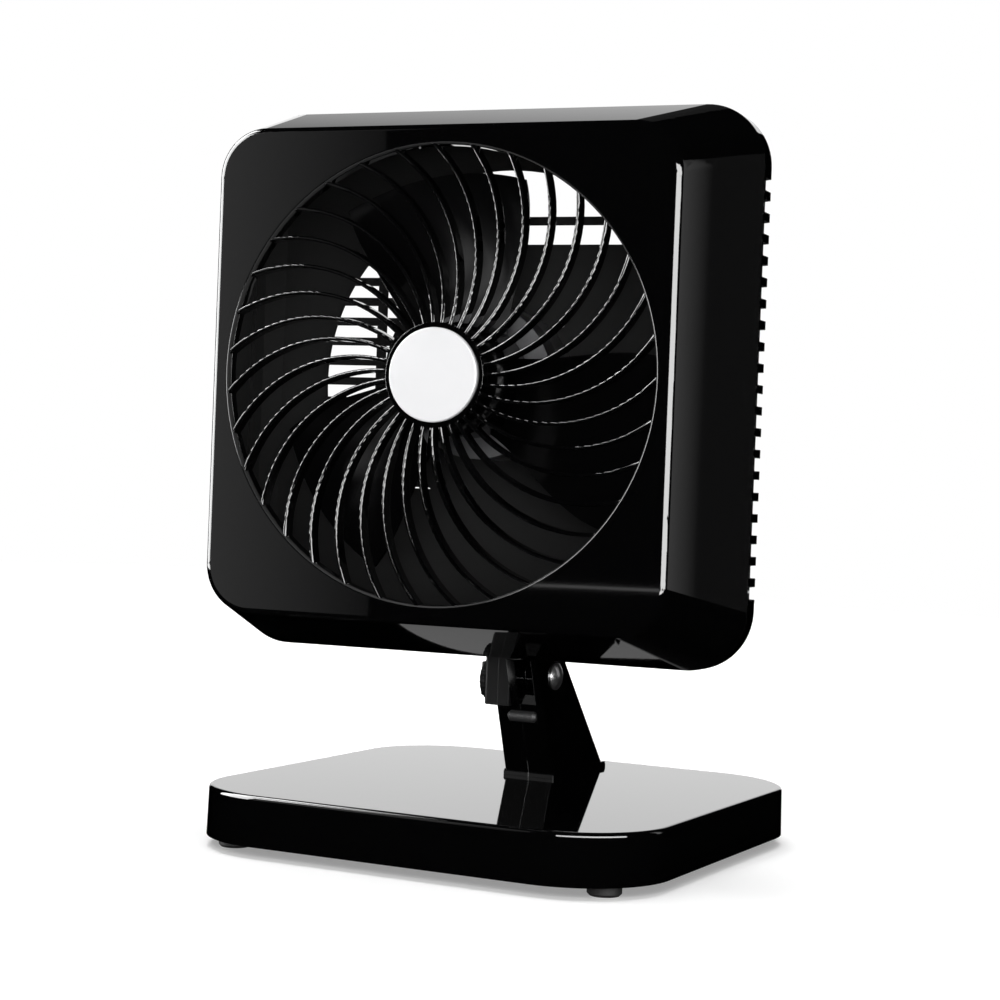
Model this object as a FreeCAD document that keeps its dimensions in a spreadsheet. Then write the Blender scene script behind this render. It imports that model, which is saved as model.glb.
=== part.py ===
import FreeCAD, Part

import math
import operator
import os

import Sketcher

# Oscillating table fan: x points right, y points back and z points up, in millimetres.
# The origin lies under the middle of the fan's bounding box, on the floor.

SIZES = {
    # Base
    "base_width": 256.5,
    "base_depth": 255.5,
    "base_corner": 50.9,
    "base_rise": 6.0,
    "base_height": 25.95,
    "base_draft": 0.57,
    "base_wall": 2.5,
    "base_edge_round": 2.2,
    "plate_recess": 2.0,
    "plate_thickness": 2.0,
    "plate_gap": 0.4,
    "plate_draw_in": 0.3,
    "ballast_width": 130.0,
    "ballast_depth": 150.0,
    "ballast_corner": 12.0,
    "ballast_thickness": 9.0,
    "foot_radius": 8.5,
    "foot_inset_x": 23.25,
    "foot_inset_y": 27.75,
    "foot_taper": 1.2,
    "foot_recess": 3.4,
    "foot_boss_radius": 5.5,
    # Fasteners
    "screw_radius": 2.0,
    "screw_head_radius": 3.7,
    "screw_head_height": 2.4,
    "screw_bite": 9.0,
    "small_screw_radius": 1.4,
    "small_head_radius": 2.7,
    "small_head_height": 1.6,
    # Column
    "column_seam_x": -1.35,
    "column_right_x": 12.7,
    "column_left_x": -15.4,
    "column_top_z": 98.0,
    "column_shoulder_z": 72.0,
    "column_foot_front_y": 33.8,
    "column_foot_back_y": 102.0,
    "column_top_front_y": 9.3,
    "column_top_back_y": 43.0,
    "column_wall": 3.6,
    "column_solid_foot": 14.0,
    "collar_height": 3.2,
    "collar_reach": 1.2,
    "column_screw_front_y": 46.0,
    "column_screw_back_y": 88.0,
    "cheek_left_x": -6.6,
    "slot_right_x": 8.3,
    "slot_floor_z": 73.5,
    "tie_barrel_z": 66.5,
    "tie_barrel_radius": 3.15,
    "tie_barrel_left_x": -9.0,
    "tie_barrel_right_x": 8.0,
    "tie_barrel_round": 1.6,
    # Tilt bolt and nut
    "tilt_y": 33.0,
    "tilt_z": 88.6,
    "bolt_radius": 3.0,
    "bolt_head_radius": 7.5,
    "bolt_head_height": 3.4,
    "bolt_head_rim": 0.8,
    "nut_radius": 5.7,
    "nut_thickness": 3.2,
    "tilt_washer_radius": 9.0,
    "tilt_washer_thickness": 0.5,
    # Switch box, knob and grommet
    "switch_left_x": -22.0,
    "switch_seam_x": -13.5,
    "switch_front_y": 15.0,
    "switch_back_y": 44.0,
    "switch_top_z": 99.0,
    "switch_wall": 1.8,
    "switch_round": 2.0,
    "switch_block_depth": 18.0,
    "switch_block_height": 16.0,
    "knob_y": 27.0,
    "knob_z": 85.0,
    "knob_radius": 11.0,
    "knob_thickness": 5.6,
    "knob_stem_radius": 3.0,
    "knob_edge_round": 1.2,
    "knob_grip_width": 3.0,
    "knob_grip_height": 1.4,
    "grommet_radius": 6.5,
    "grommet_neck_radius": 4.5,
    "grommet_bore_radius": 3.0,
    "grommet_flange": 1.8,
    # Running clearances
    "running_gap": 0.05,
    "side_gap": 0.3,
    # Head: front shell and grille
    "head_x": -3.96,
    "head_y": -89.66,
    "head_z": 246.97,
    "head_turn_angle": 5.67,
    "head_width": 250.0,
    "head_height": 251.0,
    "head_corner": 25.0,
    "head_flare": 21.3,
    "head_back_corner": 31.8,
    "head_depth": 77.2,
    "head_wall": 2.5,
    "face_thickness": 3.0,
    "face_edge_round": 3.2,
    "mouth_margin": 8.55,
    "mouth_edge_round": 1.1,
    "shell_boss_radius": 6.0,
    "shell_boss_draw_in": 22.0,
    "shell_boss_length": 22.0,
    "shell_screw_bite": 14.0,
    "shell_web_width": 4.0,
    "rib_sink": 0.5,
    "rib_depth": 7.5,
    "rib_width": 2.0,
    "rib_edge_round": 0.8,
    "rib_count": 35,
    "rib_rim_angle": 82.4,
    "rib_middle_radius": 67.0,
    "rib_middle_lag": 20.0,
    "rib_hub_lag": 29.5,
    "rib_rim_lead": 1.0,
    "rim_ring_lip": 0.5,
    "rim_ring_width": 5.5,
    "grille_tab_length": 17.55,
    "grille_tab_width": 10.0,
    "grille_tab_thickness": 2.0,
    "grille_screw_inset": 6.0,
    "grille_screw_bite": 2.0,
    "hub_ring_radius": 26.6,
    "hub_ring_thickness": 6.0,
    "badge_radius": 23.9,
    "badge_proud": 2.0,
    "badge_seat": 1.5,
    "badge_edge_round": 0.8,
    # Head: rear cover
    "cover_flank_depth": 13.0,
    "cover_flank_bulge": 0.3,
    "cover_flank_wall": 5.0,
    "cover_flank_groove": 3.7,
    "cover_depth": 19.8,
    "cover_draw": 9.0,
    "cover_wall": 2.5,
    "cover_groove_depth": 1.2,
    "cover_rim": 3.0,
    "bar_pitch": 11.07,
    "bar_width": 4.4,
    "bar_rows": 10,
    "bar_reference_z": 0.2,
    "guard_inset": 11.45,
    "guard_ring_width": 5.0,
    "guard_post_x": 72.4,
    "guard_post_width": 4.9,
    "guard_window_z": 76.0,
    "guard_sill_z": -58.0,
    "guard_beam_height": 9.0,
    "motor_disc_radius": 70.0,
    # Motor
    "motor_radius": 41.0,
    "motor_front_y": 60.0,
    "motor_bell_length": 16.0,
    "motor_tail_length": 13.0,
    "motor_shell": 2.5,
    "stator_bore_radius": 22.5,
    "air_gap": 0.5,
    "winding_inner_radius": 25.5,
    "winding_outer_radius": 37.5,
    "winding_length": 8.0,
    "bearing_boss_radius": 10.0,
    "bearing_boss_length": 12.0,
    "bushing_radius": 7.5,
    "shaft_radius": 4.0,
    "shaft_front_y": 14.5,
    "shaft_back_y": 141.0,
    "worm_radius": 3.0,
    "worm_length": 18.0,
    "motor_flange_radius": 52.0,
    "motor_flange_thickness": 3.0,
    "motor_screw_circle": 47.0,
    # Fan
    "fan_front_y": 22.0,
    "fan_hub_radius": 30.0,
    "fan_hub_wall": 2.2,
    "fan_hub_length": 34.0,
    "fan_hub_round": 5.0,
    "fan_boss_radius": 8.0,
    "fan_boss_length": 22.0,
    "blade_count": 3,
    "first_blade_angle": 23.0,
    "blade_inset": 8.45,
    "blade_root_sink": 10.0,
    "blade_thickness": 1.8,
    "blade_camber": 4.0,
    "hub_nut_radius": 9.0,
    "hub_nut_length": 10.0,
    "hub_nut_round": 3.0,
    # Gearbox, measured from the middle of the motor shaft
    "swivel_x": 15.9,
    "swivel_y": 120.3,
    "gearbox_left_x": -20.0,
    "gearbox_right_x": 27.0,
    "gearbox_length": 42.0,
    "gearbox_floor_z": -24.0,
    "gearbox_top_z": 12.0,
    "gearbox_wall": 2.5,
    "gearbox_screw_inset": 3.6,
    "gearbox_post_radius": 3.0,
    "lid_thickness": 3.0,
    "lid_sleeve_radius": 4.4,
    "lid_sleeve_length": 7.5,
    "gear_module": 0.5,
    "wheel_teeth": 30,
    "pinion_teeth": 10,
    "crank_teeth": 50,
    "gear_play": 0.06,
    "worm_play": 0.3,
    "wheel_thickness": 6.0,
    "wheel_y": 133.0,
    "gear_shaft_radius": 2.0,
    "gear_thickness": 6.0,
    "gear_floor_gap": 1.1,
    "crank_lag_angle": 167.7,
    "crank_shaft_radius": 3.0,
    "crank_radius": 12.5,
    "crank_turn_angle": -18.5,
    "crank_end_radius": 3.1,
    "crank_thickness": 4.0,
    "crank_drop": 0.6,
    "crank_pin_radius": 1.8,
    "crank_pin_length": 4.0,
    "rod_drop": 0.4,
    "rod_thickness": 2.6,
    "rod_end_radius": 3.4,
    "rod_width": 4.0,
    "rod_pin_x": -5.5,
    "rod_pin_y": 32.9,
    "rod_pin_radius": 2.0,
    # Hood and oscillation knob
    "hood_radius": 62.0,
    "hood_length": 65.0,
    "hood_wall": 2.5,
    "hood_round": 16.0,
    "hood_gate_half": 40.0,
    "hood_gate_z": -30.0,
    "hood_slot_height": 3.0,
    "hood_slot_pitch": 8.0,
    "hood_slot_half": 26.0,
    "hood_slot_rows": 2,
    "hood_tab_radius": 4.4,
    "hood_tab_thickness": 2.5,
    "hood_tab_inset": 3.0,
    "hood_tab_angle": 110.0,
    "pull_knob_radius": 6.0,
    "pull_knob_height": 11.0,
    "pull_knob_gap": 1.0,
    "pull_knob_round": 1.5,
    "pull_stem_gap": 0.4,
    # Neck
    "neck_radius": 10.5,
    "neck_bottom_z": 106.0,
    "neck_top_drop": 45.5,
    "lug_radius": 10.0,
    "post_radius": 5.0,
    "post_sink": 25.0,
    "post_top_drop": 8.0,
    "swivel_boss_radius": 9.0,
    "swivel_boss_top_drop": 12.0,
    "swivel_bushing_radius": 6.6,
    "thrust_washer_thickness": 1.5,
    "thrust_washer_radius": 9.0,
    "circlip_thickness": 1.0,
    "circlip_radius": 6.6,
    "circlip_groove": 0.6,
    "ear_bar_width": 8.0,
    "ear_bar_height": 8.0,
    "ear_radius": 4.4,
    "link_screw_head": 3.3,
    "link_screw_head_height": 1.8,
    # Every cut runs this far past the face that it opens
    "overrun": 2.0,
}

document = FreeCAD.newDocument("TableFan")
sheet = document.addObject("Spreadsheet::Sheet", "Sizes")
for row, (alias, number) in enumerate(SIZES.items(), start=1):
    sheet.set("A%d" % row, alias)
    sheet.set("B%d" % row, str(number))
    sheet.setAlias("B%d" % row, alias)
document.recompute()


class Size:
    """A number together with the sheet formula that gives it."""

    def __init__(self, number, formula):
        self.number = number
        self.formula = formula

    def __float__(self):
        return self.number

    def __add__(self, other):
        return combine(operator.add, "+", self, other)

    def __radd__(self, other):
        return combine(operator.add, "+", other, self)

    def __sub__(self, other):
        return combine(operator.sub, "-", self, other)

    def __rsub__(self, other):
        return combine(operator.sub, "-", other, self)

    def __mul__(self, other):
        return combine(operator.mul, "*", self, other)

    def __rmul__(self, other):
        return combine(operator.mul, "*", other, self)

    def __truediv__(self, other):
        return combine(operator.truediv, "/", self, other)

    def __neg__(self):
        return Size(-self.number, "(0 - %s)" % self.formula)


def combine(action, sign, first, second):
    """Join two sizes, or a size and a plain number, into one size."""
    texts = [item.formula if isinstance(item, Size) else repr(item) for item in (first, second)]
    number = action(float(first), float(second))
    return Size(number, "(%s %s %s)" % (texts[0], sign, texts[1]))


class Values:
    """Each driving dimension of the sheet by its alias, and what follows from them."""


S = Values()
for alias in SIZES:
    setattr(S, alias, Size(float(sheet.get(alias)), "Sizes." + alias))
S.foot_spread_x = S.base_width / 2 - S.foot_inset_x
S.foot_spread_y = S.base_depth / 2 - S.foot_inset_y
S.head_back_size = S.head_width + 2 * S.head_flare
S.mouth_radius = S.head_width / 2 - S.mouth_margin
S.grille_tab_reach = S.mouth_radius + S.grille_tab_length
S.guard_radius = S.mouth_radius - S.guard_inset
S.blade_reach = S.mouth_radius - S.blade_inset

X_AXIS = FreeCAD.Vector(1, 0, 0)
Y_AXIS = FreeCAD.Vector(0, 1, 0)
Z_AXIS = FreeCAD.Vector(0, 0, 1)
ORIGIN = FreeCAD.Vector(0, 0, 0)
HALF_TURN = 180
FULL_TURN = 360
QUARTER_TURN = 90
EIGHTH_TURN = 45
CORNERS = 4

parts = {}


def vector(x, y, z):
    """A point from three sizes."""
    return FreeCAD.Vector(float(x), float(y), float(z))


def shifted(x, y, z):
    """A placement that moves without turning."""
    return FreeCAD.Placement(vector(x, y, z), FreeCAD.Rotation())


def turned_about(axis, angle):
    """A placement that turns about an axis through its own origin."""
    return FreeCAD.Placement(ORIGIN, FreeCAD.Rotation(axis, float(angle)))


def keep(name, item, placement):
    """Give a finished sub-part its name and place."""
    item.Label = name
    item.Placement = placement
    parts[name] = item
    return item


def bind(item, name, size):
    """Tie one property of an object to the sheet."""
    item.setExpression(name, size.formula if isinstance(size, Size) else repr(size))


def origin_plane(body, role):
    """One of a body's own origin planes."""
    return next(plane for plane in body.Origin.OriginFeatures if plane.Role == role)


def drawing(body, role, outlines, circles=()):
    """A sketch of closed outlines and circles, every corner bound to the sheet."""
    sketch = body.newObject("Sketcher::SketchObject", body.Name + "_sketch")
    sketch.AttachmentSupport = (origin_plane(body, role), [""])
    sketch.MapMode = "FlatFace"
    for points in outlines:
        draw_outline(sketch, points)
    for across, up, radius in circles:
        draw_circle(sketch, across, up, radius)
    return sketch


def hold(sketch, kind, edge, corner, size):
    """Fix one coordinate of a sketch point, on the axis when the size is zero."""
    if float(size) == 0:
        axis = -2 if kind == "DistanceX" else -1
        sketch.addConstraint(Sketcher.Constraint("PointOnObject", edge, corner, axis))
        return
    number = sketch.addConstraint(Sketcher.Constraint(kind, -1, 1, edge, corner, float(size)))
    bind(sketch, "Constraints[%d]" % number, size)


def draw_outline(sketch, points):
    """Add a closed polygon to a sketch."""
    corners = [vector(across, up, 0) for across, up in points]
    first = sketch.GeometryCount
    for start, end in zip(corners, corners[1:] + corners[:1]):
        sketch.addGeometry(Part.LineSegment(start, end))
    for step, (across, up) in enumerate(points):
        edge = first + step
        following = first + (step + 1) % len(points)
        sketch.addConstraint(Sketcher.Constraint("Coincident", edge, 2, following, 1))
        hold(sketch, "DistanceX", edge, 1, across)
        hold(sketch, "DistanceY", edge, 1, up)


def draw_circle(sketch, across, up, radius):
    """Add a circle to a sketch."""
    edge = sketch.addGeometry(Part.Circle(vector(across, up, 0), Z_AXIS, float(radius)))
    hold(sketch, "DistanceX", edge, 3, across)
    hold(sketch, "DistanceY", edge, 3, up)
    number = sketch.addConstraint(Sketcher.Constraint("Radius", edge, float(radius)))
    bind(sketch, "Constraints[%d]" % number, radius)


def lathe(name, outlines):
    """A body turned about z from outlines of radius and height."""
    body = document.addObject("PartDesign::Body", name)
    sketch = drawing(body, "XZ_Plane", outlines)
    feature = body.newObject("PartDesign::Revolution", name + "_turn")
    feature.Profile = sketch
    feature.ReferenceAxis = (sketch, ["V_Axis"])
    feature.Angle = FULL_TURN
    return body


def rounded(body, radius, wanted):
    """Round the edges of a body that the test picks, as its last feature."""
    document.recompute()
    base = body.Tip
    edges = ["Edge%d" % (step + 1) for step, edge in enumerate(base.Shape.Edges) if wanted(edge)]
    feature = body.newObject("PartDesign::Fillet", body.Name + "_round")
    feature.Base = (base, edges)
    bind(feature, "Radius", radius)
    return body


def is_circle(edge, radius, height):
    """Tell whether an edge is a level circle of that radius at that height."""
    curve = edge.Curve
    if not isinstance(curve, Part.Circle):
        return False
    near = float(S.running_gap)
    return abs(curve.Radius - float(radius)) < near and abs(curve.Center.z - float(height)) < near


def tube(inner, outer, bottom, top):
    """The outline of a ring of two radii between two heights."""
    return [(inner, bottom), (outer, bottom), (outer, top), (inner, top)]


def solid_feature(name, shape, placement):
    """A sub-part whose form is worked out from the sheet's values."""
    item = document.addObject("Part::Feature", name)
    item.Shape = shape
    return keep(name, item, placement)


def cluster(name, pattern, placement, places):
    """Copies of one fastener as a single node of separate solids."""
    document.recompute()
    copies = []
    for place in places:
        copy = pattern.Shape.copy()
        copy.Placement = place.multiply(copy.Placement)
        copies.append(copy)
    return solid_feature(name, Part.makeCompound(copies), placement)


def block(x_low, x_high, y_low, y_high, z_low, z_high):
    """A box between six sizes."""
    length = float(x_high) - float(x_low)
    width = float(y_high) - float(y_low)
    height = float(z_high) - float(z_low)
    return Part.makeBox(length, width, height, vector(x_low, y_low, z_low))


def rod(radius, start, end, axis):
    """A cylinder from one point to a distance along an axis."""
    return Part.makeCylinder(float(radius), float(end), start, axis)


def round_outline(width, depth, corner, level):
    """A rounded rectangle about the z axis at one level."""
    half_x = float(width) / 2
    half_y = float(depth) / 2
    radius = float(corner)
    reach = radius * math.sin(math.radians(QUARTER_TURN / 2))
    edges = []
    previous = None
    first = None
    for sign_x, sign_y in ((1, -1), (1, 1), (-1, 1), (-1, -1)):
        centre_x = sign_x * (half_x - radius)
        centre_y = sign_y * (half_y - radius)
        ends = [
            vector(sign_x * half_x, centre_y, level),
            vector(centre_x, sign_y * half_y, level),
        ]
        if sign_x != sign_y:
            ends.reverse()
        middle = vector(centre_x + sign_x * reach, centre_y + sign_y * reach, level)
        arc = Part.Arc(ends[0], middle, ends[1]).toShape()
        if previous is not None:
            edges.append(Part.LineSegment(previous, ends[0]).toShape())
        else:
            first = ends[0]
        edges.append(arc)
        previous = ends[1]
    edges.append(Part.LineSegment(previous, first).toShape())
    return Part.Wire(edges)


def round_block(levels):
    """A solid through rounded rectangles, each given as width, depth, corner and level."""
    wires = [round_outline(*level) for level in levels]
    return Part.makeLoft(wires, True, True)


# Where the fan stands: its bounding box runs from the head's left edge to its right edge.
turn = math.radians(float(S.head_turn_angle))
middle_x = float(S.head_x) - float(S.head_depth) * math.sin(turn)
base_frame = shifted(-middle_x, 0, 0)
head_place = shifted(S.head_x, S.head_y, S.head_z).multiply(turned_about(Z_AXIS, S.head_turn_angle))
head_frame = base_frame.multiply(head_place)
# Pieces turned on a lathe along the motor shaft are drawn upright and laid back.
shaft_frame = head_frame.multiply(turned_about(X_AXIS, -QUARTER_TURN))
# Level of the base shell's top, and of the swivel axis in the base's own frame.
base_top = S.base_rise + S.base_height
swivel_point = head_place.multVec(vector(S.swivel_x, S.swivel_y, 0))
swivel_frame = base_frame.multiply(shifted(swivel_point.x, swivel_point.y, 0))
neck_top = S.head_z - S.neck_top_drop
foot_places = [
    shifted(float(S.foot_spread_x) * side, float(S.foot_spread_y) * end, 0)
    for side in (-1, 1)
    for end in (-1, 1)
]
corner_angles = [EIGHTH_TURN + QUARTER_TURN * step for step in range(CORNERS)]
corner_turns = [turned_about(Z_AXIS, angle) for angle in corner_angles]


def make_base_shell():
    """Hollow square base with four bosses for the feet."""
    top_width = S.base_width - 2 * S.base_draft
    top_depth = S.base_depth - 2 * S.base_draft
    top_corner = S.base_corner - S.base_draft
    outer = round_block([
        (S.base_width, S.base_depth, S.base_corner, S.base_rise),
        (top_width, top_depth, top_corner, base_top),
    ])
    level = float(base_top)
    top_edges = [
        edge for edge in outer.Edges
        if all(abs(corner.Z - level) < float(S.running_gap) for corner in edge.Vertexes)
    ]
    outer = outer.makeFillet(float(S.base_edge_round), top_edges)
    ceiling = base_top - S.base_wall
    inner = round_block([
        (S.base_width - 2 * S.base_wall, S.base_depth - 2 * S.base_wall,
         S.base_corner - S.base_wall, S.base_rise - S.overrun),
        (top_width - 2 * S.base_wall, top_depth - 2 * S.base_wall,
         top_corner - S.base_wall, ceiling),
    ])
    shell = outer.cut(inner)
    plate_top = S.base_rise + S.plate_recess + S.plate_thickness
    reach = float(ceiling) - float(plate_top)
    bosses = []
    for place in foot_places:
        foot = place.multVec(vector(0, 0, plate_top))
        boss = rod(S.foot_boss_radius, foot, reach, Z_AXIS)
        bore = rod(S.screw_radius, foot, S.screw_bite, Z_AXIS)
        bosses.append(boss.cut(bore))
    shell = shell.fuse(bosses)
    holes = [
        rod(S.screw_radius, vector(x, y, ceiling - S.overrun), S.base_wall + 2 * S.overrun, Z_AXIS)
        for x, y in column_screw_points()
    ]
    rear = vector(0, S.base_depth / 2 + S.overrun, grommet_level())
    holes.append(rod(S.grommet_neck_radius, rear, S.base_wall * 2 + S.overrun * 2, -Y_AXIS))
    solid_feature("base_shell", shell.cut(holes).removeSplitter(), base_frame)


def grommet_level():
    """Height of the grommet's middle on the base's rear wall."""
    return S.base_rise + S.base_height / 2


def column_screw_points():
    """The four screws that hold the column's foot."""
    left = (S.column_seam_x + S.column_left_x) / 2
    right = (S.column_seam_x + S.column_right_x) / 2
    ends = (S.column_screw_front_y, S.column_screw_back_y)
    return [(side, end) for side in (left, right) for end in ends]


def make_base_plate():
    """Steel floor of the base, set inside the shell's lower edge."""
    bottom = S.base_rise + S.plate_recess
    inset = 2 * (S.base_wall + S.plate_gap + S.plate_draw_in)
    plate = document.addObject("Part::Extrusion", "base_plate_blank")
    outline = document.addObject("Part::Feature", "base_plate_outline")
    corner = S.base_corner - S.base_wall - S.plate_gap
    outline.Shape = Part.Face(round_outline(S.base_width - inset, S.base_depth - inset, corner, 0))
    plate.Base = outline
    plate.DirMode = "Custom"
    plate.Dir = Z_AXIS
    bind(plate, "LengthFwd", S.plate_thickness)
    holes = document.addObject("Part::MultiFuse", "base_plate_holes")
    drills = []
    for place in foot_places:
        drill = document.addObject("Part::Cylinder", "base_plate_drill")
        bind(drill, "Radius", S.screw_radius)
        bind(drill, "Height", S.plate_thickness + 2 * S.overrun)
        drill.Placement = place.multiply(shifted(0, 0, -S.overrun))
        drills.append(drill)
    holes.Shapes = drills
    cut = document.addObject("Part::Cut", "base_plate")
    cut.Base = plate
    cut.Tool = holes
    keep("base_plate", cut, base_frame.multiply(shifted(0, 0, bottom)))


def make_ballast():
    """Steel weight that lies on the base plate."""
    bottom = S.base_rise + S.plate_recess + S.plate_thickness
    outline = document.addObject("Part::Feature", "ballast_outline")
    outline.Shape = Part.Face(
        round_outline(S.ballast_width, S.ballast_depth, S.ballast_corner, 0)
    )
    weight = document.addObject("Part::Extrusion", "ballast_weight")
    weight.Base = outline
    weight.DirMode = "Custom"
    weight.Dir = Z_AXIS
    bind(weight, "LengthFwd", S.ballast_thickness)
    keep("ballast_plate", weight, base_frame.multiply(shifted(0, 0, bottom)))


def make_feet():
    """Rubber feet with a recess for the screw's head, and their screws."""
    height = S.base_rise + S.plate_recess
    foot = lathe("foot_pattern", [[
        (S.screw_head_radius + S.side_gap, 0),
        (S.foot_radius - S.foot_taper, 0),
        (S.foot_radius, S.foot_taper),
        (S.foot_radius, height),
        (S.screw_radius, height),
        (S.screw_radius, S.foot_recess),
        (S.screw_head_radius + S.side_gap, S.foot_recess),
    ]])
    cluster("rubber_feet", foot, base_frame, foot_places)
    length = height + S.plate_thickness + S.screw_bite - S.foot_recess
    screw = screw_pattern("foot_screw_pattern", S.screw_radius, S.screw_head_radius,
                          S.screw_head_height, length)
    places = [place.multiply(shifted(0, 0, S.foot_recess)) for place in foot_places]
    cluster("foot_screws", screw, base_frame, places)


def screw_pattern(name, radius, head_radius, head_height, length):
    """A screw that points up from the underside of its head at height zero."""
    return lathe(name, [[
        (0, -head_height),
        (head_radius, -head_height),
        (head_radius, 0),
        (radius, 0),
        (radius, length),
        (0, length),
    ]])


def column_profile():
    """Side outline of the column, as depth and height."""
    return [
        (float(S.column_foot_front_y), float(base_top)),
        (float(S.column_foot_back_y), float(base_top)),
        (float(S.column_top_back_y), float(S.column_top_z)),
        (float(S.column_top_front_y), float(S.column_top_z)),
    ]


def inset_profile(points, gap):
    """The same convex outline, drawn in by a gap on every side."""
    lines = []
    for (y1, z1), (y2, z2) in zip(points, points[1:] + points[:1]):
        length = math.hypot(y2 - y1, z2 - z1)
        side = ((y2 - y1) / length, (z2 - z1) / length)
        lines.append(((y1 - side[1] * gap, z1 + side[0] * gap), side))
    corners = []
    for (first, one), (second, two) in zip(lines[-1:] + lines[:-1], lines):
        cross = one[0] * two[1] - one[1] * two[0]
        gap_y = second[0] - first[0]
        gap_z = second[1] - first[1]
        along = (gap_y * two[1] - gap_z * two[0]) / cross
        corners.append((first[0] + one[0] * along, first[1] + one[1] * along))
    return corners


def across_x(points, x_low, x_high):
    """A solid with an outline of depth and height, from one x to another."""
    corners = [vector(x_low, y, z) for y, z in points]
    face = Part.Face(Part.makePolygon(corners + corners[:1]))
    return face.extrude(vector(float(x_high) - float(x_low), 0, 0))


def make_column():
    """Two hollow halves that meet at a seam and carry the tilt bolt."""
    profile = column_profile()
    hollow = inset_profile(profile, float(S.column_wall))
    above_foot = block(S.column_left_x, S.column_right_x, S.column_top_front_y,
                       S.column_foot_back_y, base_top + S.column_solid_foot,
                       S.column_shoulder_z - S.column_wall)
    barrel_y = front_depth(S.tie_barrel_z)
    barrel = rod(S.tie_barrel_radius, vector(S.tie_barrel_left_x, barrel_y, S.tie_barrel_z),
                 S.tie_barrel_right_x - S.tie_barrel_left_x, X_AXIS)
    bolt_bore = rod(S.bolt_radius, vector(S.cheek_left_x - S.overrun, S.tilt_y, S.tilt_z),
                    S.column_right_x - S.cheek_left_x + 2 * S.overrun, X_AXIS)
    pilots = [
        rod(S.screw_radius, vector(x, y, base_top - S.overrun), S.screw_bite + S.overrun, Z_AXIS)
        for x, y in column_screw_points()
    ]
    sides = (
        ("column_left_half", S.column_left_x, S.column_seam_x),
        ("column_right_half", S.column_seam_x, S.column_right_x),
    )
    for name, x_low, x_high in sides:
        half = across_x(profile, x_low, x_high)
        collar = across_x(collar_profile(), x_low, x_high)
        outer_low = name == "column_left_half"
        edge = x_low if outer_low else x_high
        sign = -1 if outer_low else 1
        lip = across_x(collar_profile(), edge, float(edge) + sign * float(S.collar_reach))
        half = half.fuse([collar, lip])
        cavity_low = x_low + S.column_wall if outer_low else x_low
        cavity_high = x_high if outer_low else x_high - S.column_wall
        cavity = across_x(hollow, cavity_low, cavity_high).common(above_foot)
        cuts = [cavity, barrel, bolt_bore] + pilots
        cuts.append(top_cut(outer_low))
        half = half.cut(cuts).removeSplitter()
        solid_feature(name, half, base_frame)


def collar_profile():
    """Side outline of the low collar round the column's foot."""
    reach = S.collar_reach
    top = base_top + S.collar_height
    return [
        (float(S.column_foot_front_y - reach), float(base_top)),
        (float(S.column_foot_back_y + reach), float(base_top)),
        (float(S.column_foot_back_y + reach), float(base_top + reach)),
        (float(S.column_foot_back_y), float(top)),
        (float(S.column_foot_front_y), float(top)),
        (float(S.column_foot_front_y - reach), float(top - reach)),
    ]


def front_depth(level):
    """Depth of the column's leaning front face at one height."""
    rise = S.column_top_z - base_top
    lean = S.column_top_front_y - S.column_foot_front_y
    return S.column_foot_front_y + lean * (level - base_top) / rise


def top_cut(left):
    """Space cut from a column half above its shoulder or slot floor."""
    front = S.column_top_front_y - S.overrun
    back = S.column_foot_back_y
    top = S.column_top_z + S.overrun
    if left:
        shoulder = block(S.column_left_x - S.overrun, S.cheek_left_x, front, back,
                         S.column_shoulder_z, top)
        pocket = hexagon(S.cheek_left_x, S.cheek_left_x + S.nut_thickness)
        return shoulder.fuse(pocket)
    return block(S.column_seam_x, S.slot_right_x, front, back, S.slot_floor_z, top)


def hexagon(x_low, x_high):
    """A six-sided prism along x about the tilt bolt."""
    sides = 6
    points = []
    for step in range(sides):
        angle = math.radians(FULL_TURN * step / sides)
        y = float(S.tilt_y) + float(S.nut_radius) * math.cos(angle)
        z = float(S.tilt_z) + float(S.nut_radius) * math.sin(angle)
        points.append((y, z))
    return across_x(points, x_low, x_high)


def make_column_screws():
    """Screws from inside the base, up into the column's foot."""
    screw = screw_pattern("column_screw_pattern", S.screw_radius, S.screw_head_radius,
                          S.screw_head_height, S.base_wall + S.screw_bite)
    places = [shifted(x, y, base_top - S.base_wall) for x, y in column_screw_points()]
    cluster("column_screws", screw, base_frame, places)


def make_tie_barrel():
    """Small barrel across the seam on the column's front."""
    length = S.tie_barrel_right_x - S.tie_barrel_left_x
    radius = S.tie_barrel_radius
    curve = S.tie_barrel_round
    barrel = lathe("tie_barrel", [[
        (0, 0),
        (radius - curve, 0),
        (radius, curve),
        (radius, length - curve),
        (radius - curve, length),
        (0, length),
    ]])
    place = shifted(S.tie_barrel_left_x, front_depth(S.tie_barrel_z), S.tie_barrel_z)
    keep("tie_barrel", barrel, base_frame.multiply(place).multiply(
        turned_about(Y_AXIS, QUARTER_TURN)))


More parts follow.
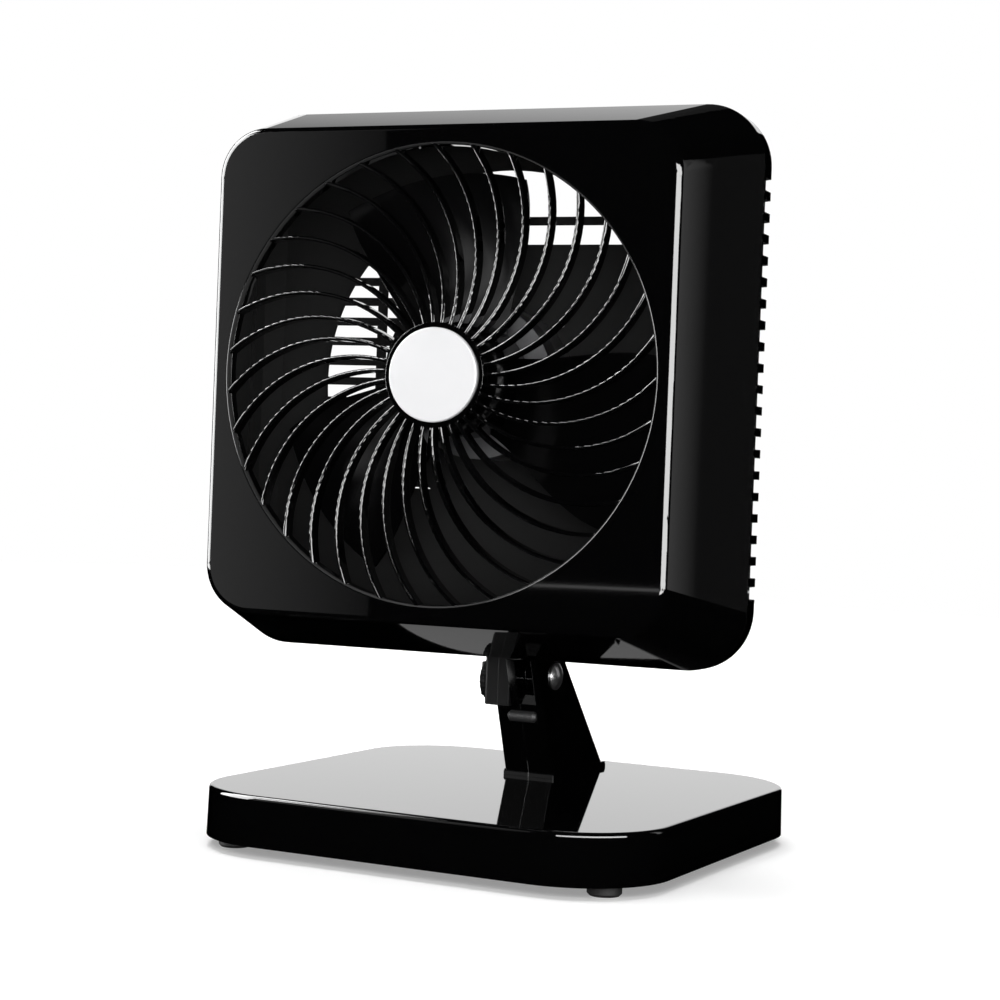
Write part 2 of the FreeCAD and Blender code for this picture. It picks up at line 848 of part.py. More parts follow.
def make_tilt_bolt():
    """Bolt with a domed head on the column's right face, and its nut."""
    length = S.column_right_x - S.cheek_left_x
    head = S.bolt_head_radius
    height = S.bolt_head_height
    bolt = document.addObject("Part::Feature", "tilt_bolt")
    shank = rod(S.bolt_radius, ORIGIN, length, Z_AXIS)
    dome_radius = (float(head) ** 2 + float(height - S.bolt_head_rim) ** 2) / (
        2 * float(height - S.bolt_head_rim))
    rim = rod(head, vector(0, 0, -height), height, Z_AXIS)
    ball = Part.makeSphere(dome_radius, vector(0, 0, dome_radius - float(height)))
    bolt.Shape = rim.common(ball).fuse(shank).removeSplitter()
    place = shifted(S.column_right_x, S.tilt_y, S.tilt_z)
    keep("tilt_bolt", bolt, base_frame.multiply(place).multiply(
        turned_about(Y_AXIS, -QUARTER_TURN)))
    nut = document.addObject("Part::Prism", "tilt_nut_blank")
    nut.Polygon = 6
    bind(nut, "Circumradius", S.nut_radius)
    bind(nut, "Height", S.nut_thickness)
    bore = document.addObject("Part::Cylinder", "tilt_nut_bore")
    bind(bore, "Radius", S.bolt_radius)
    bind(bore, "Height", S.nut_thickness)
    ring = document.addObject("Part::Cut", "tilt_nut")
    ring.Base = nut
    ring.Tool = bore
    seat = shifted(S.cheek_left_x, S.tilt_y, S.tilt_z)
    turn_to_x = FreeCAD.Placement(ORIGIN, FreeCAD.Rotation(Y_AXIS, Z_AXIS, X_AXIS, "ZXY"))
    keep("tilt_nut", ring, base_frame.multiply(seat).multiply(turn_to_x))


def switch_profile():
    """Side outline of the switch box, as depth and height."""
    front = float(S.switch_front_y)
    back = float(S.switch_back_y)
    low = float(S.column_shoulder_z)
    top = float(S.switch_top_z)
    return [(front, low), (back, low), (back, top), (front, top)]


def make_switch_box():
    """Inner housing and outer cover of the switch box, and the rotary switch inside."""
    wall = float(S.switch_wall)
    inside = inset_profile(switch_profile(), wall)
    stem = rod(S.knob_stem_radius + S.side_gap,
               vector(S.switch_left_x - S.overrun, S.knob_y, S.knob_z),
               S.switch_wall + 2 * S.overrun, X_AXIS)
    housing = across_x(switch_profile(), S.switch_seam_x, S.cheek_left_x)
    room = across_x(inside, S.switch_seam_x, S.cheek_left_x - S.switch_wall)
    solid_feature("switch_housing", housing.cut(room), base_frame)
    cover = across_x(switch_profile(), S.switch_left_x, S.switch_seam_x)
    edges = [edge for edge in cover.Edges if leftmost(edge)]
    cover = cover.makeFillet(float(S.switch_round), edges)
    room = across_x(inside, S.switch_left_x + S.switch_wall, S.switch_seam_x)
    solid_feature("switch_cover", cover.cut([room, stem]), base_frame)
    left = S.switch_left_x + S.switch_wall
    right = S.cheek_left_x - S.switch_wall
    half_deep = S.switch_block_depth / 2
    half_high = S.switch_block_height / 2
    switch = block(left, right, S.knob_y - half_deep, S.knob_y + half_deep,
                   S.knob_z - half_high, S.knob_z + half_high)
    shaft_hole = rod(S.knob_stem_radius + S.running_gap, vector(left, S.knob_y, S.knob_z),
                     S.knob_thickness, X_AXIS)
    solid_feature("rotary_switch", switch.cut(shaft_hole), base_frame)


def leftmost(edge):
    """Tell whether an edge lies on the switch cover's outer face."""
    left = float(S.switch_left_x)
    return all(abs(corner.X - left) < float(S.running_gap) for corner in edge.Vertexes)


def make_speed_knob():
    """Round knob with a raised grip, on a stem that enters the switch."""
    thick = S.knob_thickness
    disc = rod(S.knob_radius, ORIGIN, thick, Z_AXIS)
    rims = [edge for edge in disc.Edges if is_circle(edge, S.knob_radius, thick)]
    disc = disc.makeFillet(float(S.knob_edge_round), rims)
    grip = block(-S.knob_radius + S.knob_edge_round, S.knob_radius - S.knob_edge_round,
                 -S.knob_grip_width / 2, S.knob_grip_width / 2,
                 S.knob_thickness - S.knob_edge_round, S.knob_thickness + S.knob_grip_height)
    stem = rod(S.knob_stem_radius, ORIGIN, S.switch_wall + thick, -Z_AXIS)
    knob = disc.fuse([grip, stem]).removeSplitter()
    place = shifted(S.switch_left_x - S.side_gap, S.knob_y, S.knob_z)
    solid_feature("speed_knob", knob, base_frame.multiply(place).multiply(
        turned_about(Y_AXIS, -QUARTER_TURN)))


def make_grommet():
    """Grommet in the rear wall where a supply cord would enter."""
    inner = S.grommet_bore_radius
    neck = S.grommet_neck_radius
    flange = S.grommet_flange
    wall = S.base_wall
    grommet = lathe("cord_grommet", [[
        (inner, -wall),
        (neck, -wall),
        (neck, 0),
        (S.grommet_radius, 0),
        (S.grommet_radius, flange),
        (inner, flange),
    ]])
    place = shifted(0, S.base_depth / 2, grommet_level())
    keep("cord_grommet", grommet, base_frame.multiply(place).multiply(
        turned_about(X_AXIS, -QUARTER_TURN)))


def swivel_height(drop):
    """Height of a level that lies a given drop below the motor shaft."""
    return S.head_z - drop


def make_neck():
    """Arm with its lug between the cheeks, the tilt washers and the swivel post."""
    lug_left = S.column_seam_x + S.tilt_washer_thickness + S.running_gap
    lug_right = S.slot_right_x - S.tilt_washer_thickness - S.running_gap
    width = lug_right - lug_left
    lug = rod(S.lug_radius, vector(lug_left, S.tilt_y, S.tilt_z), width, X_AXIS)
    stem = block(lug_left, lug_right, S.tilt_y - S.lug_radius, S.tilt_y + S.lug_radius,
                 S.tilt_z, S.neck_bottom_z + S.overrun)
    foot = vector(swivel_point.x, swivel_point.y, S.neck_bottom_z)
    arm = rod(S.neck_radius, foot, neck_top - S.neck_bottom_z, Z_AXIS)
    stem = stem.cut(block(lug_left, lug_right, S.tilt_y - S.lug_radius,
                          S.tilt_y + S.lug_radius, S.neck_bottom_z, neck_top))
    pin = rod_pin_point()
    bar_bottom = neck_top - S.ear_bar_height
    reach = math.hypot(float(S.rod_pin_x), float(S.rod_pin_y))
    bar = Part.makeBox(reach, float(S.ear_bar_width), float(S.ear_bar_height),
                       vector(0, -S.ear_bar_width / 2, 0))
    bar.Placement = shifted(swivel_point.x, swivel_point.y, bar_bottom).multiply(
        turned_about(Z_AXIS, math.degrees(math.atan2(float(S.rod_pin_y), float(S.rod_pin_x)))))
    ear_top = rod_bottom() - S.running_gap
    ear = rod(S.ear_radius, vector(pin.x, pin.y, bar_bottom), ear_top - bar_bottom, Z_AXIS)
    bolt_bore = rod(S.bolt_radius + S.running_gap,
                    vector(lug_left - S.overrun, S.tilt_y, S.tilt_z),
                    width + 2 * S.overrun, X_AXIS)
    post_bore = rod(S.post_radius, vector(swivel_point.x, swivel_point.y, neck_top),
                    S.post_sink, -Z_AXIS)
    pin_bore = rod(S.rod_pin_radius, vector(pin.x, pin.y, ear_top), S.ear_bar_height, -Z_AXIS)
    neck = lug.fuse([stem, arm, bar, ear]).cut([bolt_bore, post_bore, pin_bore])
    solid_feature("neck_arm", neck.removeSplitter(), base_frame)
    washer = lathe("tilt_washer_pattern", [
        tube(S.bolt_radius, S.tilt_washer_radius, 0, S.tilt_washer_thickness)
    ])
    upright = turned_about(Y_AXIS, QUARTER_TURN)
    places = [
        shifted(lug_left - S.tilt_washer_thickness, S.tilt_y, S.tilt_z).multiply(upright),
        shifted(lug_right, S.tilt_y, S.tilt_z).multiply(upright),
    ]
    cluster("tilt_washers", washer, base_frame, places)


def rod_pin_point():
    """Where the link rod is pinned to the neck, in the base's own frame."""
    return swivel_point.add(vector(S.rod_pin_x, S.rod_pin_y, 0))


def rod_bottom():
    """Height of the link rod's underside."""
    below_shaft = (S.crank_drop + S.crank_thickness + S.crank_pin_length
                   + S.rod_drop + S.rod_thickness)
    return S.head_z + S.gearbox_floor_z - below_shaft


def make_swivel_parts():
    """Post that the head turns on, with its washer, ring and bushing."""
    groove_bottom = swivel_height(S.swivel_boss_top_drop) + S.running_gap
    groove_top = groove_bottom + S.circlip_thickness
    groove_radius = S.post_radius - S.circlip_groove
    post_top = swivel_height(S.post_top_drop)
    post = lathe("swivel_post", [[
        (0, neck_top - S.post_sink),
        (S.post_radius, neck_top - S.post_sink),
        (S.post_radius, groove_bottom),
        (groove_radius, groove_bottom),
        (groove_radius, groove_top),
        (S.post_radius, groove_top),
        (S.post_radius, post_top),
        (0, post_top),
    ]])
    keep("swivel_post", post, swivel_frame)
    ring = lathe("circlip", [tube(groove_radius, S.circlip_radius, groove_bottom, groove_top)])
    keep("circlip", ring, swivel_frame)
    washer_top = neck_top + S.thrust_washer_thickness
    washer = lathe("thrust_washer", [
        tube(S.post_radius, S.thrust_washer_radius, neck_top, washer_top)
    ])
    keep("thrust_washer", washer, swivel_frame)
    bushing = lathe("swivel_bushing", [
        tube(S.post_radius + S.running_gap, S.swivel_bushing_radius,
             washer_top + S.running_gap, swivel_height(S.swivel_boss_top_drop))
    ])
    keep("swivel_bushing", bushing, swivel_frame)


def make_link():
    """Rod from the neck's ear to the crank pin, and the screw that pins it."""
    pin = rod_pin_point()
    end = head_place.multVec(crank_pin_point())
    reach = math.hypot(end.x - pin.x, end.y - pin.y)
    angle = math.degrees(math.atan2(end.y - pin.y, end.x - pin.x))
    thick = S.rod_thickness
    far = vector(reach, 0, 0)
    bar = block(0, reach, -S.rod_width / 2, S.rod_width / 2, 0, thick)
    link = bar.fuse([
        rod(S.rod_end_radius, ORIGIN, thick, Z_AXIS),
        rod(S.rod_end_radius, far, thick, Z_AXIS),
    ])
    link = link.cut([
        rod(S.rod_pin_radius + S.running_gap, ORIGIN, thick, Z_AXIS),
        rod(S.crank_pin_radius + S.running_gap, far, thick, Z_AXIS),
    ])
    place = shifted(pin.x, pin.y, rod_bottom()).multiply(turned_about(Z_AXIS, angle))
    solid_feature("link_rod", link.removeSplitter(), base_frame.multiply(place))
    top = thick + S.running_gap
    sunk = S.ear_bar_height + S.running_gap
    screw = lathe("link_screw", [[
        (0, -sunk),
        (S.rod_pin_radius, -sunk),
        (S.rod_pin_radius, top),
        (S.link_screw_head, top),
        (S.link_screw_head, top + S.link_screw_head_height),
        (0, top + S.link_screw_head_height),
    ]])
    keep("link_screw", screw, base_frame.multiply(shifted(pin.x, pin.y, rod_bottom())))


def side_at(depth, front):
    """Side length of the flared head at one depth behind its face."""
    return front + (S.head_back_size - front) * depth / S.head_depth


def corner_at(depth):
    """Corner radius of the flared head at one depth behind its face."""
    return S.head_corner + (S.head_back_corner - S.head_corner) * depth / S.head_depth


def head_outline(depth, wall):
    """Width, height, corner and depth of the head's outline, drawn in by a wall."""
    return (side_at(depth, S.head_width) - 2 * wall, side_at(depth, S.head_height) - 2 * wall,
            corner_at(depth) - wall, depth)


def laid_back(shape):
    """Turn a solid built along z so that it runs along y."""
    return shape.rotated(ORIGIN, X_AXIS, -QUARTER_TURN)


def corner_bosses(low, high, bore_low, bore_high, envelope):
    """Screw bosses in the head's four corners, each on a web to the corner wall."""
    offset = S.head_back_size / 2 - S.shell_boss_draw_in
    bosses = []
    for place in corner_turns:
        angle = math.degrees(place.Rotation.Angle) * place.Rotation.Axis.z
        centre = corner_point(angle, offset)
        start = vector(centre.x, low, centre.z)
        boss = rod(S.shell_boss_radius, start, float(high) - float(low), Y_AXIS)
        web = block(0, S.head_back_corner, low, high,
                    -S.shell_web_width / 2, S.shell_web_width / 2)
        web.rotate(ORIGIN, Y_AXIS, -angle)
        web.translate(vector(centre.x, 0, centre.z))
        bore = rod(S.screw_radius, vector(centre.x, bore_low, centre.z),
                   float(bore_high) - float(bore_low), Y_AXIS)
        bosses.append(boss.fuse(web).common(envelope).cut(bore))
    return bosses


def corner_point(angle, offset):
    """The corner of a square at one diagonal angle, seen from the front."""
    radians = math.radians(angle)
    return vector(math.copysign(float(offset), math.cos(radians)), 0,
                  math.copysign(float(offset), math.sin(radians)))


def circle_edges(shape, radius, depth):
    """Edges that are circles of one radius about the y axis at one depth."""
    near = float(S.running_gap)
    found = []
    for edge in shape.Edges:
        curve = edge.Curve
        if isinstance(curve, Part.Circle) and abs(curve.Radius - float(radius)) < near:
            if abs(curve.Center.y - float(depth)) < near:
                found.append(edge)
    return found


def make_front_shell():
    """Square flared shell with a round mouth in its front face."""
    outer = laid_back(round_block([head_outline(0, 0), head_outline(S.head_depth, 0)]))
    front_edges = [
        edge for edge in outer.Edges
        if all(abs(corner.Y) < float(S.running_gap) for corner in edge.Vertexes)
    ]
    outer = outer.makeFillet(float(S.face_edge_round), front_edges)
    inner = laid_back(round_block([
        head_outline(S.face_thickness, S.head_wall),
        head_outline(S.head_depth + S.overrun, S.head_wall),
    ]))
    mouth = rod(S.mouth_radius, vector(0, -S.overrun, 0), S.face_thickness + 2 * S.overrun, Y_AXIS)
    shell = outer.cut([inner, mouth])
    shell = shell.makeFillet(float(S.mouth_edge_round), circle_edges(shell, S.mouth_radius, 0))
    low = S.head_depth - S.shell_boss_length
    bores = S.head_depth - S.shell_screw_bite
    shell = shell.fuse(corner_bosses(low, S.head_depth, bores, S.head_depth, outer))
    pilots = [
        rod(S.small_screw_radius, vector(centre.x, S.face_thickness, centre.z),
            S.grille_screw_bite, -Y_AXIS)
        for centre in grille_screw_points()
    ]
    solid_feature("front_shell", shell.cut(pilots).removeSplitter(), head_frame)


def grille_screw_points():
    """The four screws of the grille, on the face's diagonals."""
    reach = float(S.grille_tab_reach - S.grille_screw_inset)
    points = []
    for angle in corner_angles:
        radians = math.radians(angle)
        points.append(vector(reach * math.cos(radians), 0, reach * math.sin(radians)))
    return points


def polar(radius, angle):
    """A point of the grille's plan, seen from the front."""
    radians = math.radians(float(angle))
    return vector(float(radius) * math.cos(radians), float(radius) * math.sin(radians), 0)


def make_rib():
    """One curved rib, on an arc from the hub to the rim, with rounded front edges."""
    rim = polar(S.mouth_radius + S.rib_width, S.rib_rim_angle + S.rib_rim_lead)
    middle = polar(S.rib_middle_radius, S.rib_rim_angle - S.rib_middle_lag)
    hub = polar(S.hub_ring_radius - S.rib_width, S.rib_rim_angle - S.rib_hub_lag)
    centre = Part.Arc(hub, middle, rim).toShape().Curve.Center
    sides = []
    for shift in (-S.rib_width / 2, S.rib_width / 2):
        moved = []
        for point in (hub, middle, rim):
            outward = point.sub(centre).normalize()
            moved.append(point.add(outward.multiply(float(shift))))
        sides.append(moved)
    inner, outer = sides
    wire = Part.Wire([
        Part.Arc(*inner).toShape(),
        Part.LineSegment(inner[2], outer[2]).toShape(),
        Part.Arc(*reversed(outer)).toShape(),
        Part.LineSegment(outer[0], inner[0]).toShape(),
    ])
    rib = Part.Face(wire).extrude(vector(0, 0, S.rib_depth))
    rib.translate(vector(0, 0, -S.rib_depth - S.rib_sink))
    top = -float(S.rib_sink)
    long_edges = [
        edge for edge in rib.Edges
        if isinstance(edge.Curve, Part.Circle)
        and all(abs(corner.Z - top) < float(S.running_gap) for corner in edge.Vertexes)
    ]
    return rib.makeFillet(float(S.rib_edge_round), long_edges)


def make_front_grille():
    """Curved ribs between a hub disc and a ring behind the mouth."""
    rib = make_rib()
    depth = float(S.rib_sink + S.rib_depth)
    count = int(float(S.rib_count))
    ribs = [
        rib.rotated(ORIGIN, Z_AXIS, FULL_TURN * step / count)
        for step in range(count)
    ]
    limit = rod(S.mouth_radius - S.running_gap, vector(0, 0, -depth), depth, Z_AXIS)
    comb = Part.makeCompound(ribs).common(limit)
    ring_inner = S.mouth_radius - S.rim_ring_lip
    ring_depth = depth - float(S.face_thickness)
    ring = rod(ring_inner + S.rim_ring_width, vector(0, 0, -depth), ring_depth, Z_AXIS)
    ring = ring.cut(rod(ring_inner, vector(0, 0, -depth), ring_depth, Z_AXIS))
    hub_bottom = -S.hub_ring_thickness - S.rib_sink
    hub = rod(S.hub_ring_radius, vector(0, 0, hub_bottom), -hub_bottom, Z_AXIS)
    seat = rod(S.badge_radius, vector(0, 0, -S.badge_seat), S.badge_seat + S.overrun, Z_AXIS)
    tabs = []
    for place in corner_turns:
        tab = block(ring_inner + S.rim_ring_lip, S.grille_tab_reach,
                    -S.grille_tab_width / 2, S.grille_tab_width / 2,
                    -S.face_thickness - S.grille_tab_thickness, -S.face_thickness)
        hole = rod(S.small_screw_radius,
                   vector(S.grille_tab_reach - S.grille_screw_inset, 0,
                          -S.face_thickness - S.grille_tab_thickness - S.overrun),
                   S.grille_tab_thickness + 2 * S.overrun, Z_AXIS)
        tab = tab.cut(hole)
        tab.Placement = place
        tabs.append(tab)
    grille = ring.fuse([hub] + comb.Solids + tabs).cut(seat).removeSplitter()
    solid_feature("front_grille", grille, head_frame.multiply(turned_about(X_AXIS, QUARTER_TURN)))
    screw = screw_pattern("grille_screw_pattern", S.small_screw_radius, S.small_head_radius,
                          S.small_head_height, S.grille_tab_thickness + S.grille_screw_bite)
    back = S.face_thickness + S.grille_tab_thickness
    places = [forward_screw(point.x, back, point.z) for point in grille_screw_points()]
    cluster("grille_screws", screw, head_frame, places)


def forward_screw(x, y, z):
    """Place of a screw whose head is at the back and whose tip points forward."""
    return shifted(x, y, z).multiply(turned_about(X_AXIS, QUARTER_TURN))


def make_badge():
    """Plain round badge in the grille's hub."""
    badge = lathe("badge", [[
        (0, -S.badge_proud),
        (S.badge_radius, -S.badge_proud),
        (S.badge_radius, S.badge_seat),
        (0, S.badge_seat),
    ]])
    badge = rounded(badge, S.badge_edge_round,
                    lambda edge: is_circle(edge, S.badge_radius, -S.badge_proud))
    keep("badge", badge, shaft_frame)


cover_back = S.head_depth + S.cover_depth


def make_rear_cover():
    """Grooved pan that wraps the sides, with bars and a window round a motor disc."""
    def outline(level, draw, wall):
        size = S.head_back_size - 2 * draw - 2 * wall
        return (size, size, S.head_back_corner - draw - wall, level)

    flank = S.head_depth + S.cover_flank_depth
    outer = laid_back(round_block([
        outline(S.head_depth, 0, 0),
        outline(flank, -S.cover_flank_bulge, 0),
        outline(cover_back, S.cover_draw, 0),
    ]))
    inside_back = cover_back - S.cover_wall
    inner = laid_back(round_block([
        outline(S.head_depth - S.overrun, 0, S.cover_flank_wall),
        outline(flank - S.cover_wall, -S.cover_flank_bulge, S.cover_flank_wall),
        outline(inside_back, S.cover_draw, S.cover_flank_wall),
    ]))
    cover = outer.cut(inner)
    core = laid_back(round_block([
        outline(S.head_depth - S.overrun, 0, S.cover_flank_groove),
        outline(flank, -S.cover_flank_bulge, S.cover_flank_groove),
        outline(cover_back - S.cover_groove_depth, S.cover_draw, S.cover_flank_groove),
    ]))
    reach = S.head_back_size
    slot_height = S.bar_pitch - S.bar_width
    slots = []
    for row in range(-int(float(S.bar_rows)), int(float(S.bar_rows))):
        middle = S.bar_reference_z + S.bar_pitch * (row + 0.5)
        slots.append(block(-reach, reach, S.head_depth + S.cover_rim, cover_back + S.overrun,
                           middle - slot_height / 2, middle + slot_height / 2))
    edge = S.guard_post_x + S.guard_post_width / 2
    above = block(-reach, edge, inside_back - S.overrun, cover_back + S.overrun,
                  S.guard_window_z, reach)
    beside = block(-reach, 0, inside_back - S.overrun, cover_back + S.overrun,
                   S.guard_sill_z, S.guard_window_z)

    def floor_disc(radius):
        return rod(radius, vector(0, inside_back, 0), S.cover_wall, Y_AXIS)

    guard = floor_disc(S.guard_radius).common(beside)
    window = floor_disc(S.mouth_radius).common(above)
    band = floor_disc(S.guard_radius + S.guard_ring_width).fuse(
        floor_disc(S.mouth_radius + S.guard_ring_width).common(above))
    band = band.cut(floor_disc(S.guard_radius))
    grooves = [slot.cut(core) for slot in slots]
    cover = cover.cut(grooves).fuse(band).cut([slot.common(guard) for slot in slots] + [window])
    window_row = round(float((S.guard_window_z + S.guard_radius) / 2 / S.bar_pitch))
    bar_middle = S.bar_reference_z + S.bar_pitch * window_row
    bar = block(-reach, reach, inside_back, cover_back,
                bar_middle - S.bar_width / 2, bar_middle + S.bar_width / 2).common(window)
    beam = block(-reach, reach, inside_back, cover_back,
                 S.guard_window_z - S.guard_beam_height, S.guard_window_z)
    disc = floor_disc(S.motor_disc_radius)
    posts = []
    for side in (-1, 1):
        middle = S.guard_post_x * side
        posts.append(block(middle - S.guard_post_width / 2, middle + S.guard_post_width / 2,
                           inside_back, cover_back, S.guard_sill_z, reach))
    frame_bars = [piece.common(floor_disc(S.mouth_radius)) for piece in [beam] + posts]
    bosses = corner_bosses(S.head_depth, inside_back, S.head_depth, cover_back, outer)
    cover = cover.fuse([bar, disc] + frame_bars + bosses)
    holes = [rod(S.motor_radius + S.side_gap, vector(0, inside_back - S.overrun, 0),
                 S.cover_wall + 2 * S.overrun, Y_AXIS)]
    holes += back_holes(motor_screw_points(), S.screw_radius)
    holes += back_holes(hood_screw_points(), S.small_screw_radius)
    holes += back_holes(shell_screw_points(), S.screw_radius)
    solid_feature("rear_cover", cover.cut(holes).removeSplitter(), head_frame)
    screw = screw_pattern("shell_screw_pattern", S.screw_radius, S.screw_head_radius,
                          S.screw_head_height, S.cover_depth + S.shell_screw_bite)
    places = [forward_screw(point.x, cover_back, point.z) for point in shell_screw_points()]
    cluster("shell_screws", screw, head_frame, places)


def back_holes(points, radius):
    """Screw holes through the rear cover's floor."""
    start = cover_back - S.cover_wall - S.overrun
    return [
        rod(radius, vector(point.x, start, point.z), S.cover_wall + 2 * S.overrun, Y_AXIS)
        for point in points
    ]


def shell_screw_points():
    """The four screws that join the rear cover to the front shell."""
    offset = S.head_back_size / 2 - S.shell_boss_draw_in
    return [corner_point(angle, offset) for angle in corner_angles]


def ring_points(radius, angles):
    """Points about the motor shaft at some angles from the right, seen from the front."""
    points = []
    for angle in angles:
        flat = polar(radius, angle)
        points.append(vector(flat.x, 0, flat.y))
    return points


def motor_screw_points():
    """The four screws of the motor's flange."""
    return ring_points(S.motor_screw_circle, corner_angles)


def hood_screw_points():
    """The three screws of the hood, one on top and one at each side."""
    spread = float(S.hood_tab_angle)
    angles = [QUARTER_TURN + spread * side for side in (-1, 0, 1)]
    return ring_points(S.hood_radius + S.hood_tab_inset, angles)


motor_middle = S.motor_front_y + S.motor_bell_length
motor_back = cover_back + S.motor_tail_length


def make_motor():
    """Two bells round a stator, with windings, bushings and flange screws."""
    skin = S.motor_radius - S.motor_shell
    front = S.motor_front_y
    boss_back = front + S.bearing_boss_length
    front_bell = lathe("motor_front_bell", [[
        (S.bushing_radius, front),
        (S.motor_radius, front),
        (S.motor_radius, motor_middle),
        (skin, motor_middle),
        (skin, front + S.motor_shell),
        (S.bearing_boss_radius, front + S.motor_shell),
        (S.bearing_boss_radius, boss_back),
        (S.bushing_radius, boss_back),
    ]])
    keep("motor_front_bell", front_bell, shaft_frame)
    flange_back = cover_back + S.motor_flange_thickness
    boss_front = motor_back - S.bearing_boss_length
    rear_bell = lathe("motor_rear_bell", [[
        (S.bushing_radius, motor_back),
        (S.motor_radius, motor_back),
        (S.motor_radius, flange_back),
        (S.motor_flange_radius, flange_back),
        (S.motor_flange_radius, cover_back),
        (skin, cover_back),
        (skin, motor_back - S.motor_shell),
        (S.bearing_boss_radius, motor_back - S.motor_shell),
        (S.bearing_boss_radius, boss_front),
        (S.bushing_radius, boss_front),
    ]])
    holes = document.addObject("Part::MultiFuse", "flange_holes")
    drills = []
    for point in motor_screw_points():
        drill = document.addObject("Part::Cylinder", "flange_drill")
        bind(drill, "Radius", S.screw_radius)
        bind(drill, "Height", S.motor_flange_thickness)
        drill.Placement = shifted(point.x, -point.z, cover_back)
        drills.append(drill)
    holes.Shapes = drills
    drilled = document.addObject("Part::Cut", "motor_rear_bell_drilled")
    drilled.Base = rear_bell
    drilled.Tool = holes
    keep("motor_rear_bell", drilled, shaft_frame)
    rear_bell.Label = "motor_rear_bell_blank"
    stator = lathe("stator", [
        tube(S.stator_bore_radius, S.motor_radius, motor_middle, cover_back)
    ])
    keep("stator", stator, shaft_frame)
    winding = lathe("winding_pattern", [
        tube(S.winding_inner_radius, S.winding_outer_radius, 0, S.winding_length)
    ])
    ends = [shifted(0, 0, motor_middle - S.winding_length), shifted(0, 0, cover_back)]
    cluster("motor_windings", winding, shaft_frame, ends)
    bushing = lathe("bushing_pattern", [
        tube(S.shaft_radius + S.running_gap, S.bushing_radius, 0, S.bearing_boss_length)
    ])
    ends = [shifted(0, 0, front), shifted(0, 0, boss_front)]
    cluster("motor_bushings", bushing, shaft_frame, ends)
    screw = screw_pattern("motor_screw_pattern", S.screw_radius, S.screw_head_radius,
                          S.screw_head_height, S.motor_flange_thickness + S.cover_wall)
    places = [forward_screw(point.x, flange_back, point.z) for point in motor_screw_points()]
    cluster("motor_screws", screw, head_frame, places)


def make_rotor():
    """Motor core and shaft, with the worm as a narrower end."""
    core = lathe("rotor_core", [
        tube(S.shaft_radius, S.stator_bore_radius - S.air_gap, motor_middle, cover_back)
    ])
    keep("rotor_core", core, shaft_frame)
    worm_front = S.shaft_back_y - S.worm_length
    shaft = lathe("rotor_shaft", [[
        (0, S.shaft_front_y),
        (S.shaft_radius, S.shaft_front_y),
        (S.shaft_radius, worm_front),
        (S.worm_radius, worm_front),
        (S.worm_radius, S.shaft_back_y),
        (0, S.shaft_back_y),
    ]])
    keep("rotor_shaft", shaft, shaft_frame)
    nut_front = S.fan_front_y - S.hub_nut_length
    curve = S.hub_nut_round
    nut = lathe("hub_nut", [[
        (0, nut_front),
        (S.hub_nut_radius - curve, nut_front),
        (S.hub_nut_radius, nut_front + curve),
        (S.hub_nut_radius, S.fan_front_y),
        (S.shaft_radius, S.fan_front_y),
        (S.shaft_radius, S.shaft_front_y),
        (0, S.shaft_front_y),
    ]])
    keep("hub_nut", nut, shaft_frame)


# Along each blade: distance from its root, width, front and back edges and sweep,
# as shares of its free length, of its reach, of the hub's length and of its reach.
BLADE_SHARES = (
    (0.0, 0.38, 0.12, 0.92, 0.00),
    (0.36, 0.60, 0.14, 0.90, -0.02),
    (0.68, 0.82, 0.22, 0.86, -0.05),
    (1.0, 0.86, 0.32, 0.82, -0.08),
)


def blade_section(out_share, width_share, front_share, back_share, sweep_share):
    """Thin cambered outline of a blade at one distance from the shaft."""
    reach = float(S.blade_reach)
    root = float(S.fan_hub_radius - S.blade_root_sink)
    x = root + (reach - root) * out_share
    half = reach * width_share / 2
    sweep = reach * sweep_share
    start = float(S.fan_front_y)
    length = float(S.fan_hub_length)
    first = vector(x, sweep - half, start + length * front_share)
    last = vector(x, sweep + half, start + length * back_share)
    along = last.sub(first)
    normal = X_AXIS.cross(along).normalize()
    middle = first.add(last).multiply(0.5).add(vector(*(normal * float(S.blade_camber))))
    lift = normal * (float(S.blade_thickness) / 2)
    over = [point.add(lift) for point in (first, middle, last)]
    under = [point.sub(lift) for point in (first, middle, last)]
    return Part.Wire([
        Part.Arc(*over).toShape(),
        Part.LineSegment(over[2], under[2]).toShape(),
        Part.Arc(*reversed(under)).toShape(),
        Part.LineSegment(under[0], over[0]).toShape(),
    ])


